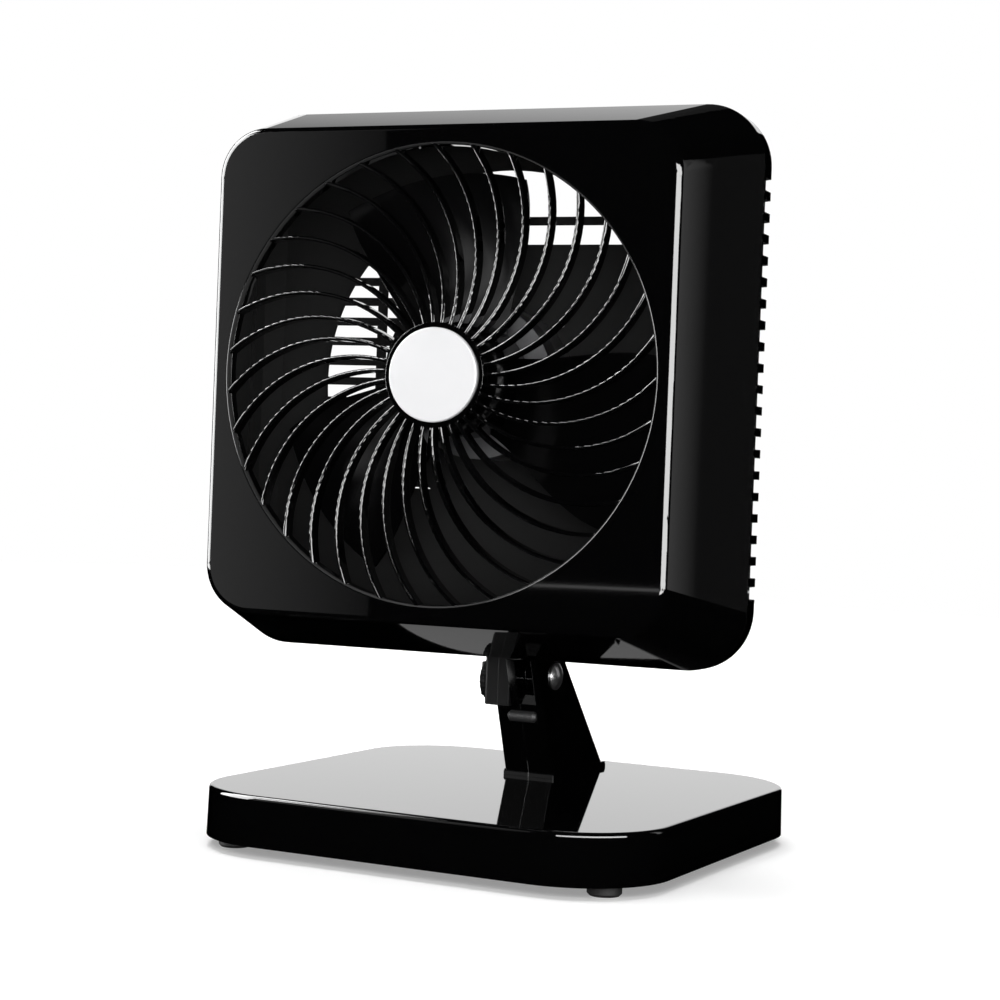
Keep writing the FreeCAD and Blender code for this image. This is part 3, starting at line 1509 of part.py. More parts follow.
def make_fan():
    """Cup-shaped hub with its blades."""
    length = float(S.fan_hub_length)
    start = vector(0, 0, S.fan_front_y)
    cup = rod(S.fan_hub_radius, start, length, Z_AXIS)
    front = [
        edge for edge in cup.Edges if is_circle(edge, S.fan_hub_radius, S.fan_front_y)
    ]
    cup = cup.makeFillet(float(S.fan_hub_round), front)
    hollow_start = vector(0, 0, S.fan_front_y + S.fan_hub_wall)
    hollow_radius = S.fan_hub_radius - S.fan_hub_wall
    hollow = rod(hollow_radius, hollow_start, length, Z_AXIS)
    inner_edge = [
        edge for edge in hollow.Edges
        if is_circle(edge, hollow_radius, S.fan_front_y + S.fan_hub_wall)
    ]
    hollow = hollow.makeFillet(float(S.fan_hub_round - S.fan_hub_wall), inner_edge)
    boss = rod(S.fan_boss_radius, start, S.fan_boss_length, Z_AXIS)
    blade = Part.makeLoft([blade_section(*shares) for shares in BLADE_SHARES], True, False)
    blade = blade.common(rod(S.blade_reach, start, length, Z_AXIS))
    count = int(float(S.blade_count))
    blades = [
        blade.rotated(ORIGIN, Z_AXIS, float(S.first_blade_angle) + FULL_TURN * step / count)
        .cut(hollow)
        for step in range(count)
    ]
    bore = rod(S.shaft_radius, start, length, Z_AXIS)
    fan = cup.cut(hollow).fuse([boss] + blades).cut(bore).removeSplitter()
    solid_feature("fan_blades", fan, shaft_frame)


# Height above and below the pitch circle, as shares of the gear module.
TOOTH_TOP_SHARE = 0.8
TOOTH_ROOT_SHARE = 1.25
# Width of a tooth at its root and at its tip, as shares of the pitch.
TOOTH_FOOT_SHARE = 0.46
TOOTH_TIP_SHARE = 0.16


def gear(teeth, bottom, top, first_tooth):
    """A spur gear about z, one tooth pointing at a given angle in degrees."""
    count = int(float(teeth))
    root = float(S.gear_module) * (count / 2 - TOOTH_ROOT_SHARE)
    tip = tip_radius(teeth)
    pitch = FULL_TURN / count
    points = []
    for step in range(count):
        middle = first_tooth + pitch * step
        for radius, share in (
            (root, -TOOTH_FOOT_SHARE),
            (tip, -TOOTH_TIP_SHARE),
            (tip, TOOTH_TIP_SHARE),
            (root, TOOTH_FOOT_SHARE),
        ):
            point = polar(radius, middle + pitch * share / 2)
            points.append(vector(point.x, point.y, bottom))
    face = Part.Face(Part.makePolygon(points + points[:1]))
    return face.extrude(vector(0, 0, float(top) - float(bottom)))


def tip_radius(teeth):
    """Outer radius of a gear."""
    return float(S.gear_module) * (int(float(teeth)) / 2 + TOOTH_TOP_SHARE)


def wheel_x():
    """Distance of the worm wheel's shaft to the right of the motor shaft."""
    return float(S.worm_radius) + float(S.worm_play) + tip_radius(S.wheel_teeth)


def crank_centre():
    """Middle of the crank gear, measured from the middle of the face."""
    spacing = float(S.gear_module) * float(S.pinion_teeth + S.crank_teeth) / 2
    flat = polar(spacing + float(S.gear_play), S.crank_lag_angle)
    return vector(wheel_x() + flat.x, S.wheel_y + flat.y, 0)


def crank_pin_point():
    """Middle of the crank pin, measured from the middle of the face."""
    return crank_centre().add(polar(S.crank_radius, S.crank_turn_angle))


def make_gears():
    """Worm wheel with its pinion, and the slow gear that carries the crank."""
    floor = S.gearbox_floor_z + S.gearbox_wall
    low = floor + S.gear_floor_gap
    high = low + S.gear_thickness
    half = S.wheel_thickness / 2
    wheel = gear(S.wheel_teeth, -half, half, 0)
    pinion = gear(S.pinion_teeth, low, high, float(S.crank_lag_angle))
    shaft_low = S.gearbox_floor_z + S.side_gap
    shaft_top = S.gearbox_top_z - S.lid_thickness
    shaft = rod(S.gear_shaft_radius, vector(0, 0, shaft_low), shaft_top - shaft_low, Z_AXIS)
    collar_height = S.gear_floor_gap - S.running_gap
    collar_low = vector(0, 0, floor + S.running_gap)
    collar = rod(S.gear_shaft_radius + S.gear_floor_gap, collar_low, collar_height, Z_AXIS)
    item = wheel.fuse([pinion, shaft, collar]).removeSplitter()
    place = head_frame.multiply(shifted(wheel_x(), S.wheel_y, 0))
    solid_feature("worm_gear", item, place)
    half_pitch = HALF_TURN / float(S.crank_teeth)
    slow = gear(S.crank_teeth, low, high, float(S.crank_lag_angle) + HALF_TURN + half_pitch)
    arm_top = S.gearbox_floor_z - S.crank_drop
    arm_low = arm_top - S.crank_thickness
    stub = rod(S.crank_shaft_radius, vector(0, 0, arm_low), high - arm_low, Z_AXIS)
    collar = rod(S.crank_shaft_radius + S.gear_floor_gap, collar_low, collar_height, Z_AXIS)
    arm = block(0, S.crank_radius, -S.crank_end_radius, S.crank_end_radius, arm_low, arm_top)
    end = vector(S.crank_radius, 0, arm_low)
    arm = arm.fuse([
        rod(S.crank_end_radius + S.gear_floor_gap, vector(0, 0, arm_low),
            S.crank_thickness, Z_AXIS),
        rod(S.crank_end_radius, end, S.crank_thickness, Z_AXIS),
        rod(S.crank_pin_radius, end, S.crank_pin_length, -Z_AXIS),
    ])
    arm.rotate(ORIGIN, Z_AXIS, float(S.crank_turn_angle))
    item = slow.fuse([stub, collar, arm]).removeSplitter()
    centre = crank_centre()
    solid_feature("crank_gear", item, head_frame.multiply(shifted(centre.x, centre.y, 0)))


def gearbox_corners():
    """The gearbox's four corner posts."""
    inset = S.gearbox_screw_inset
    sides = (S.gearbox_left_x + inset, S.gearbox_right_x - inset)
    ends = (motor_back + inset, motor_back + S.gearbox_length - inset)
    return [(side, end) for side in sides for end in ends]


def make_gearbox():
    """Case with the swivel boss, and a lid with a sleeve for the gear shaft."""
    left = S.gearbox_left_x
    right = S.gearbox_right_x
    back = motor_back + S.gearbox_length
    wall = S.gearbox_wall
    floor = S.gearbox_floor_z
    top = S.gearbox_top_z
    case = block(left, right, motor_back, back, floor, top)
    room = block(left + wall, right - wall, motor_back + wall, back - wall,
                 floor + wall, top + S.overrun)
    boss_low = S.thrust_washer_thickness + S.running_gap - S.neck_top_drop
    boss_height = -S.swivel_boss_top_drop - boss_low
    boss_start = vector(S.swivel_x, S.swivel_y, boss_low)
    boss = rod(S.swivel_boss_radius, boss_start, boss_height, Z_AXIS)
    posts = [
        rod(S.gearbox_post_radius, vector(x, y, floor), top - floor, Z_AXIS)
        for x, y in gearbox_corners()
    ]
    centre = crank_centre()
    under = floor - S.overrun
    cuts = [
        rod(S.swivel_bushing_radius, boss_start, boss_height, Z_AXIS),
        rod(S.shaft_radius + S.side_gap, vector(0, motor_back - S.overrun, 0),
            wall + 2 * S.overrun, Y_AXIS),
        rod(S.crank_shaft_radius + S.running_gap, vector(centre.x, centre.y, under),
            wall + 2 * S.overrun, Z_AXIS),
        rod(S.gear_shaft_radius + S.running_gap, vector(wheel_x(), S.wheel_y, under),
            wall + 2 * S.overrun, Z_AXIS),
    ]
    for x, y in gearbox_corners():
        cuts.append(rod(S.small_screw_radius, vector(x, y, top), S.screw_bite, -Z_AXIS))
    case = case.cut(room).fuse([boss] + posts).cut(cuts)
    solid_feature("gearbox_case", case.removeSplitter(), head_frame)
    lid = block(left, right, motor_back, back, top, top + S.lid_thickness)
    sleeve_start = vector(wheel_x(), S.wheel_y, top + S.lid_thickness)
    sleeve_length = S.lid_sleeve_length + S.lid_thickness
    lid = lid.fuse(rod(S.lid_sleeve_radius, sleeve_start, sleeve_length, -Z_AXIS))
    bores = [rod(S.gear_shaft_radius + S.running_gap, sleeve_start, sleeve_length, -Z_AXIS)]
    for x, y in gearbox_corners():
        bores.append(rod(S.small_screw_radius, vector(x, y, top), S.lid_thickness, Z_AXIS))
    solid_feature("gearbox_lid", lid.cut(bores).removeSplitter(), head_frame)
    screw = screw_pattern("gearbox_screw_pattern", S.small_screw_radius, S.small_head_radius,
                          S.small_head_height, S.lid_thickness + S.screw_bite)
    downward = turned_about(X_AXIS, HALF_TURN)
    places = [shifted(x, y, top + S.lid_thickness).multiply(downward)
              for x, y in gearbox_corners()]
    cluster("gearbox_screws", screw, head_frame, places)


def make_hood():
    """Round cover over motor and gearbox, open below for the neck."""
    start = vector(0, cover_back, 0)
    hood = rod(S.hood_radius, start, S.hood_length, Y_AXIS)
    rear = cover_back + S.hood_length
    hood = hood.makeFillet(float(S.hood_round), circle_edges(hood, S.hood_radius, rear))
    inner_radius = S.hood_radius - S.hood_wall
    inner_length = S.hood_length - S.hood_wall
    room = rod(inner_radius, start, inner_length, Y_AXIS)
    room = room.makeFillet(float(S.hood_round - S.hood_wall),
                           circle_edges(room, inner_radius, cover_back + inner_length))
    tabs = []
    for point in hood_screw_points():
        base = vector(point.x, cover_back, point.z)
        tabs.append(rod(S.hood_tab_radius, base, S.hood_tab_thickness, Y_AXIS))
    gate = block(S.swivel_x - S.hood_gate_half, S.swivel_x + S.hood_gate_half,
                 cover_back + S.motor_flange_thickness, rear + S.overrun,
                 -S.hood_radius - S.overrun, S.hood_gate_z)
    cuts = [room, gate]
    cuts.append(rod(S.gear_shaft_radius + S.side_gap,
                    vector(wheel_x(), S.wheel_y, S.gearbox_top_z), S.hood_radius, Z_AXIS))
    for row in range(int(float(S.hood_slot_rows)) * 2 + 1):
        middle = S.hood_slot_pitch * (row - S.hood_slot_rows)
        cuts.append(block(-S.hood_slot_half, S.hood_slot_half, rear - S.hood_wall - S.overrun,
                          rear + S.overrun, middle - S.hood_slot_height / 2,
                          middle + S.hood_slot_height / 2))
    for point in hood_screw_points():
        base = vector(point.x, cover_back, point.z)
        cuts.append(rod(S.small_screw_radius, base, S.hood_tab_thickness, Y_AXIS))
    hood = hood.fuse(tabs).cut(cuts).removeSplitter()
    solid_feature("motor_hood", hood, head_frame)
    screw = screw_pattern("hood_screw_pattern", S.small_screw_radius, S.small_head_radius,
                          S.small_head_height, S.hood_tab_thickness + S.cover_wall)
    level = cover_back + S.hood_tab_thickness
    places = [forward_screw(point.x, level, point.z) for point in hood_screw_points()]
    cluster("hood_screws", screw, head_frame, places)


def make_oscillation_knob():
    """Pull knob on top of the hood, with a stem down to the gear shaft."""
    stem_low = S.gearbox_top_z - S.lid_thickness + S.pull_stem_gap
    knob_low = S.hood_radius + S.pull_knob_gap
    knob_top = knob_low + S.pull_knob_height
    knob = lathe("oscillation_knob", [[
        (0, stem_low),
        (S.gear_shaft_radius, stem_low),
        (S.gear_shaft_radius, knob_low),
        (S.pull_knob_radius, knob_low),
        (S.pull_knob_radius, knob_top),
        (0, knob_top),
    ]])
    knob = rounded(knob, S.pull_knob_round,
                   lambda edge: is_circle(edge, S.pull_knob_radius, knob_top))
    keep("oscillation_knob", knob, head_frame.multiply(shifted(wheel_x(), S.wheel_y, 0)))


make_base_shell()
make_base_plate()
make_ballast()
make_feet()
make_column()
make_column_screws()
make_tie_barrel()
make_tilt_bolt()
make_switch_box()
make_speed_knob()
make_grommet()
make_neck()
make_swivel_parts()
make_link()
make_front_shell()
make_front_grille()
make_badge()
make_rear_cover()
make_motor()
make_rotor()
make_fan()
make_gears()
make_gearbox()
make_hood()
make_oscillation_knob()

document.recompute()
for item in document.Objects:
    if "Invalid" in item.State or "Error" in item.State:
        raise RuntimeError("%s did not compute: %s" % (item.Label, item.State))
os.makedirs("parts", exist_ok=True)
for name, item in parts.items():
    if item.Shape.isNull() or not item.Shape.isValid():
        raise RuntimeError("%s has no valid shape" % name)
    item.Shape.exportStep("parts/%s.step" % name)
print("%d sub-parts written" % len(parts))
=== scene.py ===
import math

import bmesh
import bpy
from bpy.props import FloatProperty, FloatVectorProperty, PointerProperty
from mathutils import Matrix, Vector


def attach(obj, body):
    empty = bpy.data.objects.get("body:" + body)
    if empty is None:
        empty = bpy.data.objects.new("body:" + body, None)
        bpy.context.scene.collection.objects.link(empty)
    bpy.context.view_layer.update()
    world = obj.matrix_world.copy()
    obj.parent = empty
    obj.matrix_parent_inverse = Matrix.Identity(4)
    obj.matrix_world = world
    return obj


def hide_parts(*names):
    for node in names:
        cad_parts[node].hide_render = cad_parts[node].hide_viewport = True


bl_info = {
    "name": "Table Fan Finish",
    "version": (1, 0, 0),
    "blender": (4, 5, 0),
    "location": "View3D > Sidebar > Fan",
    "description": "Dresses a square oscillating table fan with its finishes and small detail",
    "category": "Add Mesh",
}

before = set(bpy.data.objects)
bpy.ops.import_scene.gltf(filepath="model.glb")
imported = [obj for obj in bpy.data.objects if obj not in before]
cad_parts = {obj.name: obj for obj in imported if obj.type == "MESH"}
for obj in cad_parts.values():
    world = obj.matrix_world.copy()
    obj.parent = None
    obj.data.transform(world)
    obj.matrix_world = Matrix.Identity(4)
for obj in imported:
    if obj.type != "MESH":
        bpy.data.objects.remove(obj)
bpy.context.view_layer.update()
MM = 0.001
FULL_TURN = 2 * math.pi

# Finishes: the radius that edges seem to have, and the roughness of matt faces
EDGE_ROUND = 0.4 * MM
EDGE_SAMPLES = 4
MATT = 0.9

# Effects: scales of the noise, depths of the bumps, and the colours that are mixed in
SKIN_CLOUDS, GRAIN_CLOUDS, METAL_CLOUDS = 9.0, 45.0, 120.0
SKIN_RELIEF, GRAIN_RELIEF, METAL_RELIEF = 0.2 * MM, 0.06 * MM, 0.05 * MM
SPECK_SCALE, SPECK_SIZE = 210.0, 0.05
PATCH_SCALE, PATCH_LIMIT = 37.0, 0.6
SPECK_COLOR = (0.5, 0.5, 0.48, 1)
GRAIN_SHADE = (0.3, 0.3, 0.3, 1)
TARNISH = (0.55, 0.53, 0.5, 1)
TARNISH_AMOUNT = 0.3

# Meshing: how close corners count as one, and the sharpest angle that is shaded smooth
CAD_MERGE = 0.002 * MM
PIECE_MERGE = 0.001 * MM
SMOOTH_ANGLE = math.radians(35)

# Screws, as the height of the head and the radius of the stem, and the speed dial
SCREW_HEAD, SCREW_STEM = 2.4 * MM, 2.0 * MM
HOOD_SCREW_HEAD, HOOD_SCREW_STEM = 1.6 * MM, 1.4 * MM
DIAL_REACH, DIAL_STEM = 7.0 * MM, 3.0 * MM
SCREW_STEPS = 24
DIAL_SEGMENTS, DIAL_STEM_STEPS = 96, 32
COIL_STEPS, WIRE_SIDES = 48, 6

# Shares of a screw's head radius and height, from its rim to its flat top, of the cross
# recess in it, and of the stem's radius at its tip
SCREW_HEAD_SHARES = ((1, 0), (1, 0.35), (0.94, 0.66), (0.8, 0.9), (0.62, 1))
CROSS_ARM, CROSS_HALF, CROSS_FLOOR, CROSS_DEPTH = 0.5, 0.11, 0.62, 0.65
TIP_WIDTH, TIP_LENGTH = 0.6, 0.5

# Shares of the dial's radius and reach: flutes, disc, rim and face, grip and its crest
FLUTE, FLUTE_CORNERS = 0.97, 4
DISC_REACH = 0.45
RIM_WIDTH, RIM_RISE = 0.08, 0.05
FACE_WIDTH, FACE_SINK = 0.1, 0.08
GRIP_LENGTH, GRIP_WIDTH, GRIP_REACH = 1.86, 0.42, 0.75
CREST_LENGTH, CREST_WIDTH = 0.9, 0.62
GRIP_BEVEL, GRIP_BEVEL_STEPS = 0.06, 3
STEM_OVERLAP = 0.1

# Hole in a winding, as a share of its radius
COIL_HOLE = 0.68

# The head stands turned on its swivel, so its own axes differ from the world's.
HEAD_TURN = math.radians(5.67)
HEAD_BACKWARDS = Vector((-math.sin(HEAD_TURN), math.cos(HEAD_TURN), 0))
HEAD_SIDEWAYS = Vector((math.cos(HEAD_TURN), math.sin(HEAD_TURN), 0))
HEAD_CENTRE = Vector((7.627, -89.66, 246.97)) * MM
HEAD_AXES = Matrix.Translation(HEAD_CENTRE) @ Matrix.Rotation(HEAD_TURN, 4, "Z")


# Sizes and colours that a user would change

class FinishSettings(bpy.types.PropertyGroup):
    gloss_tint: FloatVectorProperty(
        name="Gloss black", description="Colour of the glossy housings",
        subtype="COLOR", size=4, default=(0.0012, 0.0012, 0.0013, 1))
    satin_tint: FloatVectorProperty(
        name="Satin black", description="Colour of the switch box and the knobs",
        subtype="COLOR", size=4, default=(0.006, 0.006, 0.0065, 1))
    blade_tint: FloatVectorProperty(
        name="Blade black", description="Colour of the blades and their nut",
        subtype="COLOR", size=4, default=(0.002, 0.002, 0.0022, 1))
    badge_tint: FloatVectorProperty(
        name="Badge silver", description="Colour of the round badge",
        subtype="COLOR", size=4, default=(0.72, 0.72, 0.73, 1))
    rubber_tint: FloatVectorProperty(
        name="Rubber", description="Colour of the feet and the cord grommet",
        subtype="COLOR", size=4, default=(0.005, 0.005, 0.005, 1))
    copper_tint: FloatVectorProperty(
        name="Copper", description="Colour of the motor's windings",
        subtype="COLOR", size=4, default=(0.6, 0.22, 0.09, 1))


class StageSettings(bpy.types.PropertyGroup):
    floor_radius: FloatProperty(
        name="Floor radius", description="Radius of the pale floor", default=3.0,
        unit="LENGTH")
    backdrop_distance: FloatProperty(
        name="Backdrop distance", description="From the fan to the pale wall behind it",
        default=2.4, unit="LENGTH")
    key_light: FloatProperty(
        name="Overhead lamp", description="Brightness of the lamp above", default=4.8, min=0)
    front_light: FloatProperty(
        name="Front lamp", description="Brightness of the lamp in front", default=10.0,
        min=0)
    edge_light: FloatProperty(
        name="Edge lamps", description="Brightness of the panels that line the edges",
        default=11.0, min=0)


class MotorSettings(bpy.types.PropertyGroup):
    wire_radius: FloatProperty(
        name="Wire radius", description="Radius of the winding wire", default=0.6 * MM,
        unit="LENGTH")


# Shader helpers

def new_material(name):
    """A material with an empty node tree, its output and its shader."""
    material = bpy.data.materials.new(name)
    material.use_nodes = True
    tree = material.node_tree
    tree.nodes.clear()
    output = tree.nodes.new("ShaderNodeOutputMaterial")
    shader = tree.nodes.new("ShaderNodeBsdfPrincipled")
    tree.links.new(shader.outputs["BSDF"], output.inputs["Surface"])
    return material, tree, shader


def new_group(name, inputs, outputs):
    """A shader node group with named sockets and its end nodes."""
    group = bpy.data.node_groups.new(name, "ShaderNodeTree")
    for label, kind, default in inputs:
        socket = group.interface.new_socket(label, in_out="INPUT", socket_type=kind)
        if default is not None:
            socket.default_value = default
    for label, kind in outputs:
        group.interface.new_socket(label, in_out="OUTPUT", socket_type=kind)
    return group, group.nodes.new("NodeGroupInput"), group.nodes.new("NodeGroupOutput")


def feed(tree, socket, value):
    """Give a socket a plain number or a link."""
    if isinstance(value, (int, float)):
        socket.default_value = value
    else:
        tree.links.new(value, socket)


def math_node(tree, operation, first, second):
    """A math node fed by sockets or plain numbers."""
    node = tree.nodes.new("ShaderNodeMath")
    node.operation = operation
    feed(tree, node.inputs[0], first)
    feed(tree, node.inputs[1], second)
    return node.outputs["Value"]


def spread(tree, source, low, high):
    """A value from nought to one, stretched between two limits."""
    node = tree.nodes.new("ShaderNodeMapRange")
    tree.links.new(source, node.inputs["Value"])
    feed(tree, node.inputs["To Min"], low)
    feed(tree, node.inputs["To Max"], high)
    return node.outputs["Result"]


def noise(tree, coordinates, scale, detail=2):
    """Smooth noise over object coordinates."""
    node = tree.nodes.new("ShaderNodeTexNoise")
    node.inputs["Detail"].default_value = detail
    tree.links.new(coordinates, node.inputs["Vector"])
    feed(tree, node.inputs["Scale"], scale)
    return node.outputs["Fac"]


def place_group(tree, group, values, coordinates):
    """Put an effect into a material with its own values."""
    node = tree.nodes.new("ShaderNodeGroup")
    node.node_tree = group
    for label, value in values.items():
        node.inputs[label].default_value = value
    tree.links.new(coordinates, node.inputs["Place"])
    return node


def object_place(tree):
    """Object coordinates, in metres."""
    return tree.nodes.new("ShaderNodeTexCoord").outputs["Object"]


def blend(tree, factor, first, second, kind="MIX"):
    """A colour mixed with a constant one by a factor."""
    mix = tree.nodes.new("ShaderNodeMix")
    mix.data_type = "RGBA"
    mix.blend_type = kind
    tree.links.new(factor, mix.inputs["Factor"])
    tree.links.new(first, mix.inputs["A"])
    mix.inputs["B"].default_value = second
    return mix.outputs["Result"]


def relief(tree, strength, height, distance, normal):
    """A bump over a given normal."""
    bump = tree.nodes.new("ShaderNodeBump")
    bump.inputs["Distance"].default_value = distance
    for label, source in (("Strength", strength), ("Height", height), ("Normal", normal)):
        tree.links.new(source, bump.inputs[label])
    return bump.outputs["Normal"]


def close_effect(group, end, color, roughness, normal):
    """Lead an effect's three results to its end."""
    for label, source in (("Color", color), ("Roughness", roughness), ("Normal", normal)):
        group.links.new(source, end.inputs[label])
    return group


# Effects that several finishes share

EFFECT_RESULTS = [("Color", "NodeSocketColor"), ("Roughness", "NodeSocketFloat"),
                  ("Normal", "NodeSocketVector")]


def make_moulded_skin():
    """Slow roughness change, dust specks and the faint ripple of moulded plastic."""
    group, start, end = new_group("Moulded skin", [
        ("Place", "NodeSocketVector", None), ("Tint", "NodeSocketColor", (0, 0, 0, 1)),
        ("Smooth", "NodeSocketFloat", 0.05), ("Dull", "NodeSocketFloat", 0.12),
        ("Ripple", "NodeSocketFloat", 0.02), ("Ripple scale", "NodeSocketFloat", 60.0),
        ("Dust", "NodeSocketFloat", 0.02), ("Edge", "NodeSocketVector", None),
    ], EFFECT_RESULTS)
    given = start.outputs
    place = given["Place"]
    roughness = spread(group, noise(group, place, SKIN_CLOUDS, detail=4),
                       given["Smooth"], given["Dull"])
    specks = group.nodes.new("ShaderNodeTexVoronoi")
    specks.inputs["Scale"].default_value = SPECK_SCALE
    group.links.new(place, specks.inputs["Vector"])
    near = math_node(group, "LESS_THAN", specks.outputs["Distance"], SPECK_SIZE)
    patchy = math_node(group, "GREATER_THAN", noise(group, place, PATCH_SCALE),
                       PATCH_LIMIT)
    amount = math_node(group, "MULTIPLY", math_node(group, "MULTIPLY", near, patchy),
                       given["Dust"])
    ripple = noise(group, place, given["Ripple scale"], detail=1)
    return close_effect(
        group, end, blend(group, amount, given["Tint"], SPECK_COLOR), roughness,
        relief(group, given["Ripple"], ripple, SKIN_RELIEF, given["Edge"]))


def make_fine_grain():
    """Leathery or sandy grain of satin plastic, nylon, rubber and paint."""
    group, start, end = new_group("Fine grain", [
        ("Place", "NodeSocketVector", None), ("Tint", "NodeSocketColor", (0, 0, 0, 1)),
        ("Grain scale", "NodeSocketFloat", 900.0), ("Depth", "NodeSocketFloat", 0.3),
        ("Smooth", "NodeSocketFloat", 0.35), ("Dull", "NodeSocketFloat", 0.6),
        ("Mottle", "NodeSocketFloat", 0.25), ("Edge", "NodeSocketVector", None),
    ], EFFECT_RESULTS)
    given = start.outputs
    grain = noise(group, given["Place"], given["Grain scale"], detail=3)
    clouds = noise(group, given["Place"], GRAIN_CLOUDS, detail=3)
    shade = math_node(group, "MULTIPLY", clouds, given["Mottle"])
    return close_effect(
        group, end, blend(group, shade, given["Tint"], GRAIN_SHADE, "MULTIPLY"),
        spread(group, clouds, given["Smooth"], given["Dull"]),
        relief(group, given["Depth"], grain, GRAIN_RELIEF, given["Edge"]))


def make_turned_metal():
    """Fine machining lines and cloudy plating of small metal pieces."""
    group, start, end = new_group("Turned metal", [
        ("Place", "NodeSocketVector", None), ("Tint", "NodeSocketColor", (0.6, 0.6, 0.6, 1)),
        ("Line scale", "NodeSocketFloat", 1500.0), ("Depth", "NodeSocketFloat", 0.1),
        ("Smooth", "NodeSocketFloat", 0.15), ("Dull", "NodeSocketFloat", 0.35),
        ("Stretch", "NodeSocketVector", (1, 1, 1)), ("Edge", "NodeSocketVector", None),
    ], EFFECT_RESULTS)
    given = start.outputs
    mapping = group.nodes.new("ShaderNodeMapping")
    group.links.new(given["Place"], mapping.inputs["Vector"])
    group.links.new(given["Stretch"], mapping.inputs["Scale"])
    lines = noise(group, mapping.outputs["Vector"], given["Line scale"])
    clouds = noise(group, given["Place"], METAL_CLOUDS, detail=3)
    shade = math_node(group, "MULTIPLY", clouds, TARNISH_AMOUNT)
    return close_effect(
        group, end, blend(group, shade, given["Tint"], TARNISH, "MULTIPLY"),
        spread(group, clouds, given["Smooth"], given["Dull"]),
        relief(group, given["Depth"], lines, METAL_RELIEF, given["Edge"]))


def effect(name):
    """A shared effect, made the first time it is asked for."""
    makers = {"Moulded skin": make_moulded_skin, "Fine grain": make_fine_grain,
              "Turned metal": make_turned_metal}
    return bpy.data.node_groups.get(name) or makers[name]()


def finish_material(name, group_name, values, **constants):
    """A finish: one shared effect feeding a shader that holds its constants."""
    known = bpy.data.materials.get(name)
    if known:
        return known
    material, tree, shader = new_material(name)
    node = place_group(tree, effect(group_name), values, object_place(tree))
    edge = tree.nodes.new("ShaderNodeBevel")
    edge.samples = EDGE_SAMPLES
    edge.inputs["Radius"].default_value = EDGE_ROUND
    tree.links.new(edge.outputs["Normal"], node.inputs["Edge"])
    for output, socket in (("Color", "Base Color"), ("Roughness", "Roughness"),
                           ("Normal", "Normal")):
        tree.links.new(node.outputs[output], shader.inputs[socket])
    for label, value in constants.items():
        shader.inputs[label.replace("_", " ")].default_value = value
    return material


def gloss_black():
    """Glossy moulded plastic of the housings."""
    tint = bpy.context.scene.fan_finish.gloss_tint
    return finish_material(
        "Gloss black", "Moulded skin",
        {"Tint": tint, "Smooth": 0.015, "Dull": 0.045, "Ripple": 0.015,
         "Ripple scale": 42.0, "Dust": 0.004},
        IOR=1.5, Coat_Weight=0.5, Coat_Roughness=0.015)


def outer_gloss(depth):
    """Gloss black that is matt where it faces a point this far behind the head's front."""
    material = gloss_black().copy()
    material.name = "Gloss black outside"
    tree = material.node_tree
    shader = next(node for node in tree.nodes if node.type == "BSDF_PRINCIPLED")
    place = tree.nodes.new("ShaderNodeTexCoord")
    outwards = tree.nodes.new("ShaderNodeVectorMath")
    outwards.operation = "SUBTRACT"
    tree.links.new(place.outputs["Object"], outwards.inputs[0])
    outwards.inputs[1].default_value = HEAD_CENTRE + HEAD_BACKWARDS * depth
    facing = tree.nodes.new("ShaderNodeVectorMath")
    facing.operation = "DOT_PRODUCT"
    tree.links.new(outwards.outputs["Vector"], facing.inputs[0])
    tree.links.new(place.outputs["Normal"], facing.inputs[1])
    inside = math_node(tree, "LESS_THAN", facing.outputs["Value"], 0.0)
    smooth = shader.inputs["Roughness"].links[0].from_socket
    tree.links.new(math_node(tree, "MAXIMUM", smooth,
                             math_node(tree, "MULTIPLY", inside, MATT)),
                   shader.inputs["Roughness"])
    tree.links.new(math_node(tree, "MULTIPLY", math_node(tree, "SUBTRACT", 1, inside),
                             shader.inputs["Coat Weight"].default_value),
                   shader.inputs["Coat Weight"])
    return material


def satin_black():
    """Finely textured plastic of the switch box and the knobs."""
    tint = bpy.context.scene.fan_finish.satin_tint
    return finish_material(
        "Satin black", "Fine grain",
        {"Tint": tint, "Grain scale": 1400.0, "Depth": 0.25, "Smooth": 0.25, "Dull": 0.42,
         "Mottle": 0.4}, IOR=1.5, Specular_IOR_Level=0.18)


def blade_black():
    """Half-gloss plastic of the blades."""
    tint = bpy.context.scene.fan_finish.blade_tint
    return finish_material(
        "Blade black", "Moulded skin",
        {"Tint": tint, "Smooth": 0.12, "Dull": 0.26, "Ripple": 0.05, "Ripple scale": 30.0,
         "Dust": 0.006}, IOR=1.5, Specular_IOR_Level=0.06)


def badge_silver():
    """Painted silver of the badge, with a very fine metal flake."""
    tint = bpy.context.scene.fan_finish.badge_tint
    return finish_material(
        "Badge silver", "Fine grain",
        {"Tint": tint, "Grain scale": 2600.0, "Depth": 0.12, "Smooth": 0.38, "Dull": 0.5,
         "Mottle": 0.06}, Metallic=0.15, IOR=1.5)


def rubber():
    """Dull moulded rubber."""
    tint = bpy.context.scene.fan_finish.rubber_tint
    return finish_material(
        "Black rubber", "Fine grain",
        {"Tint": tint, "Grain scale": 1100.0, "Depth": 0.5, "Smooth": 0.55, "Dull": 0.8,
         "Mottle": 0.4}, IOR=1.45)


def metal(name, tint, smooth, dull, depth, stretch=(1, 1, 1)):
    """A metal finish."""
    return finish_material(
        name, "Turned metal",
        {"Tint": (*tint, 1), "Smooth": smooth, "Dull": dull, "Depth": depth,
         "Stretch": stretch}, Metallic=1.0)


def zinc():
    """Zinc-plated steel of the screws and shafts."""
    return metal("Zinc steel", (0.5, 0.5, 0.52), smooth=0.2, dull=0.42, depth=0.15)


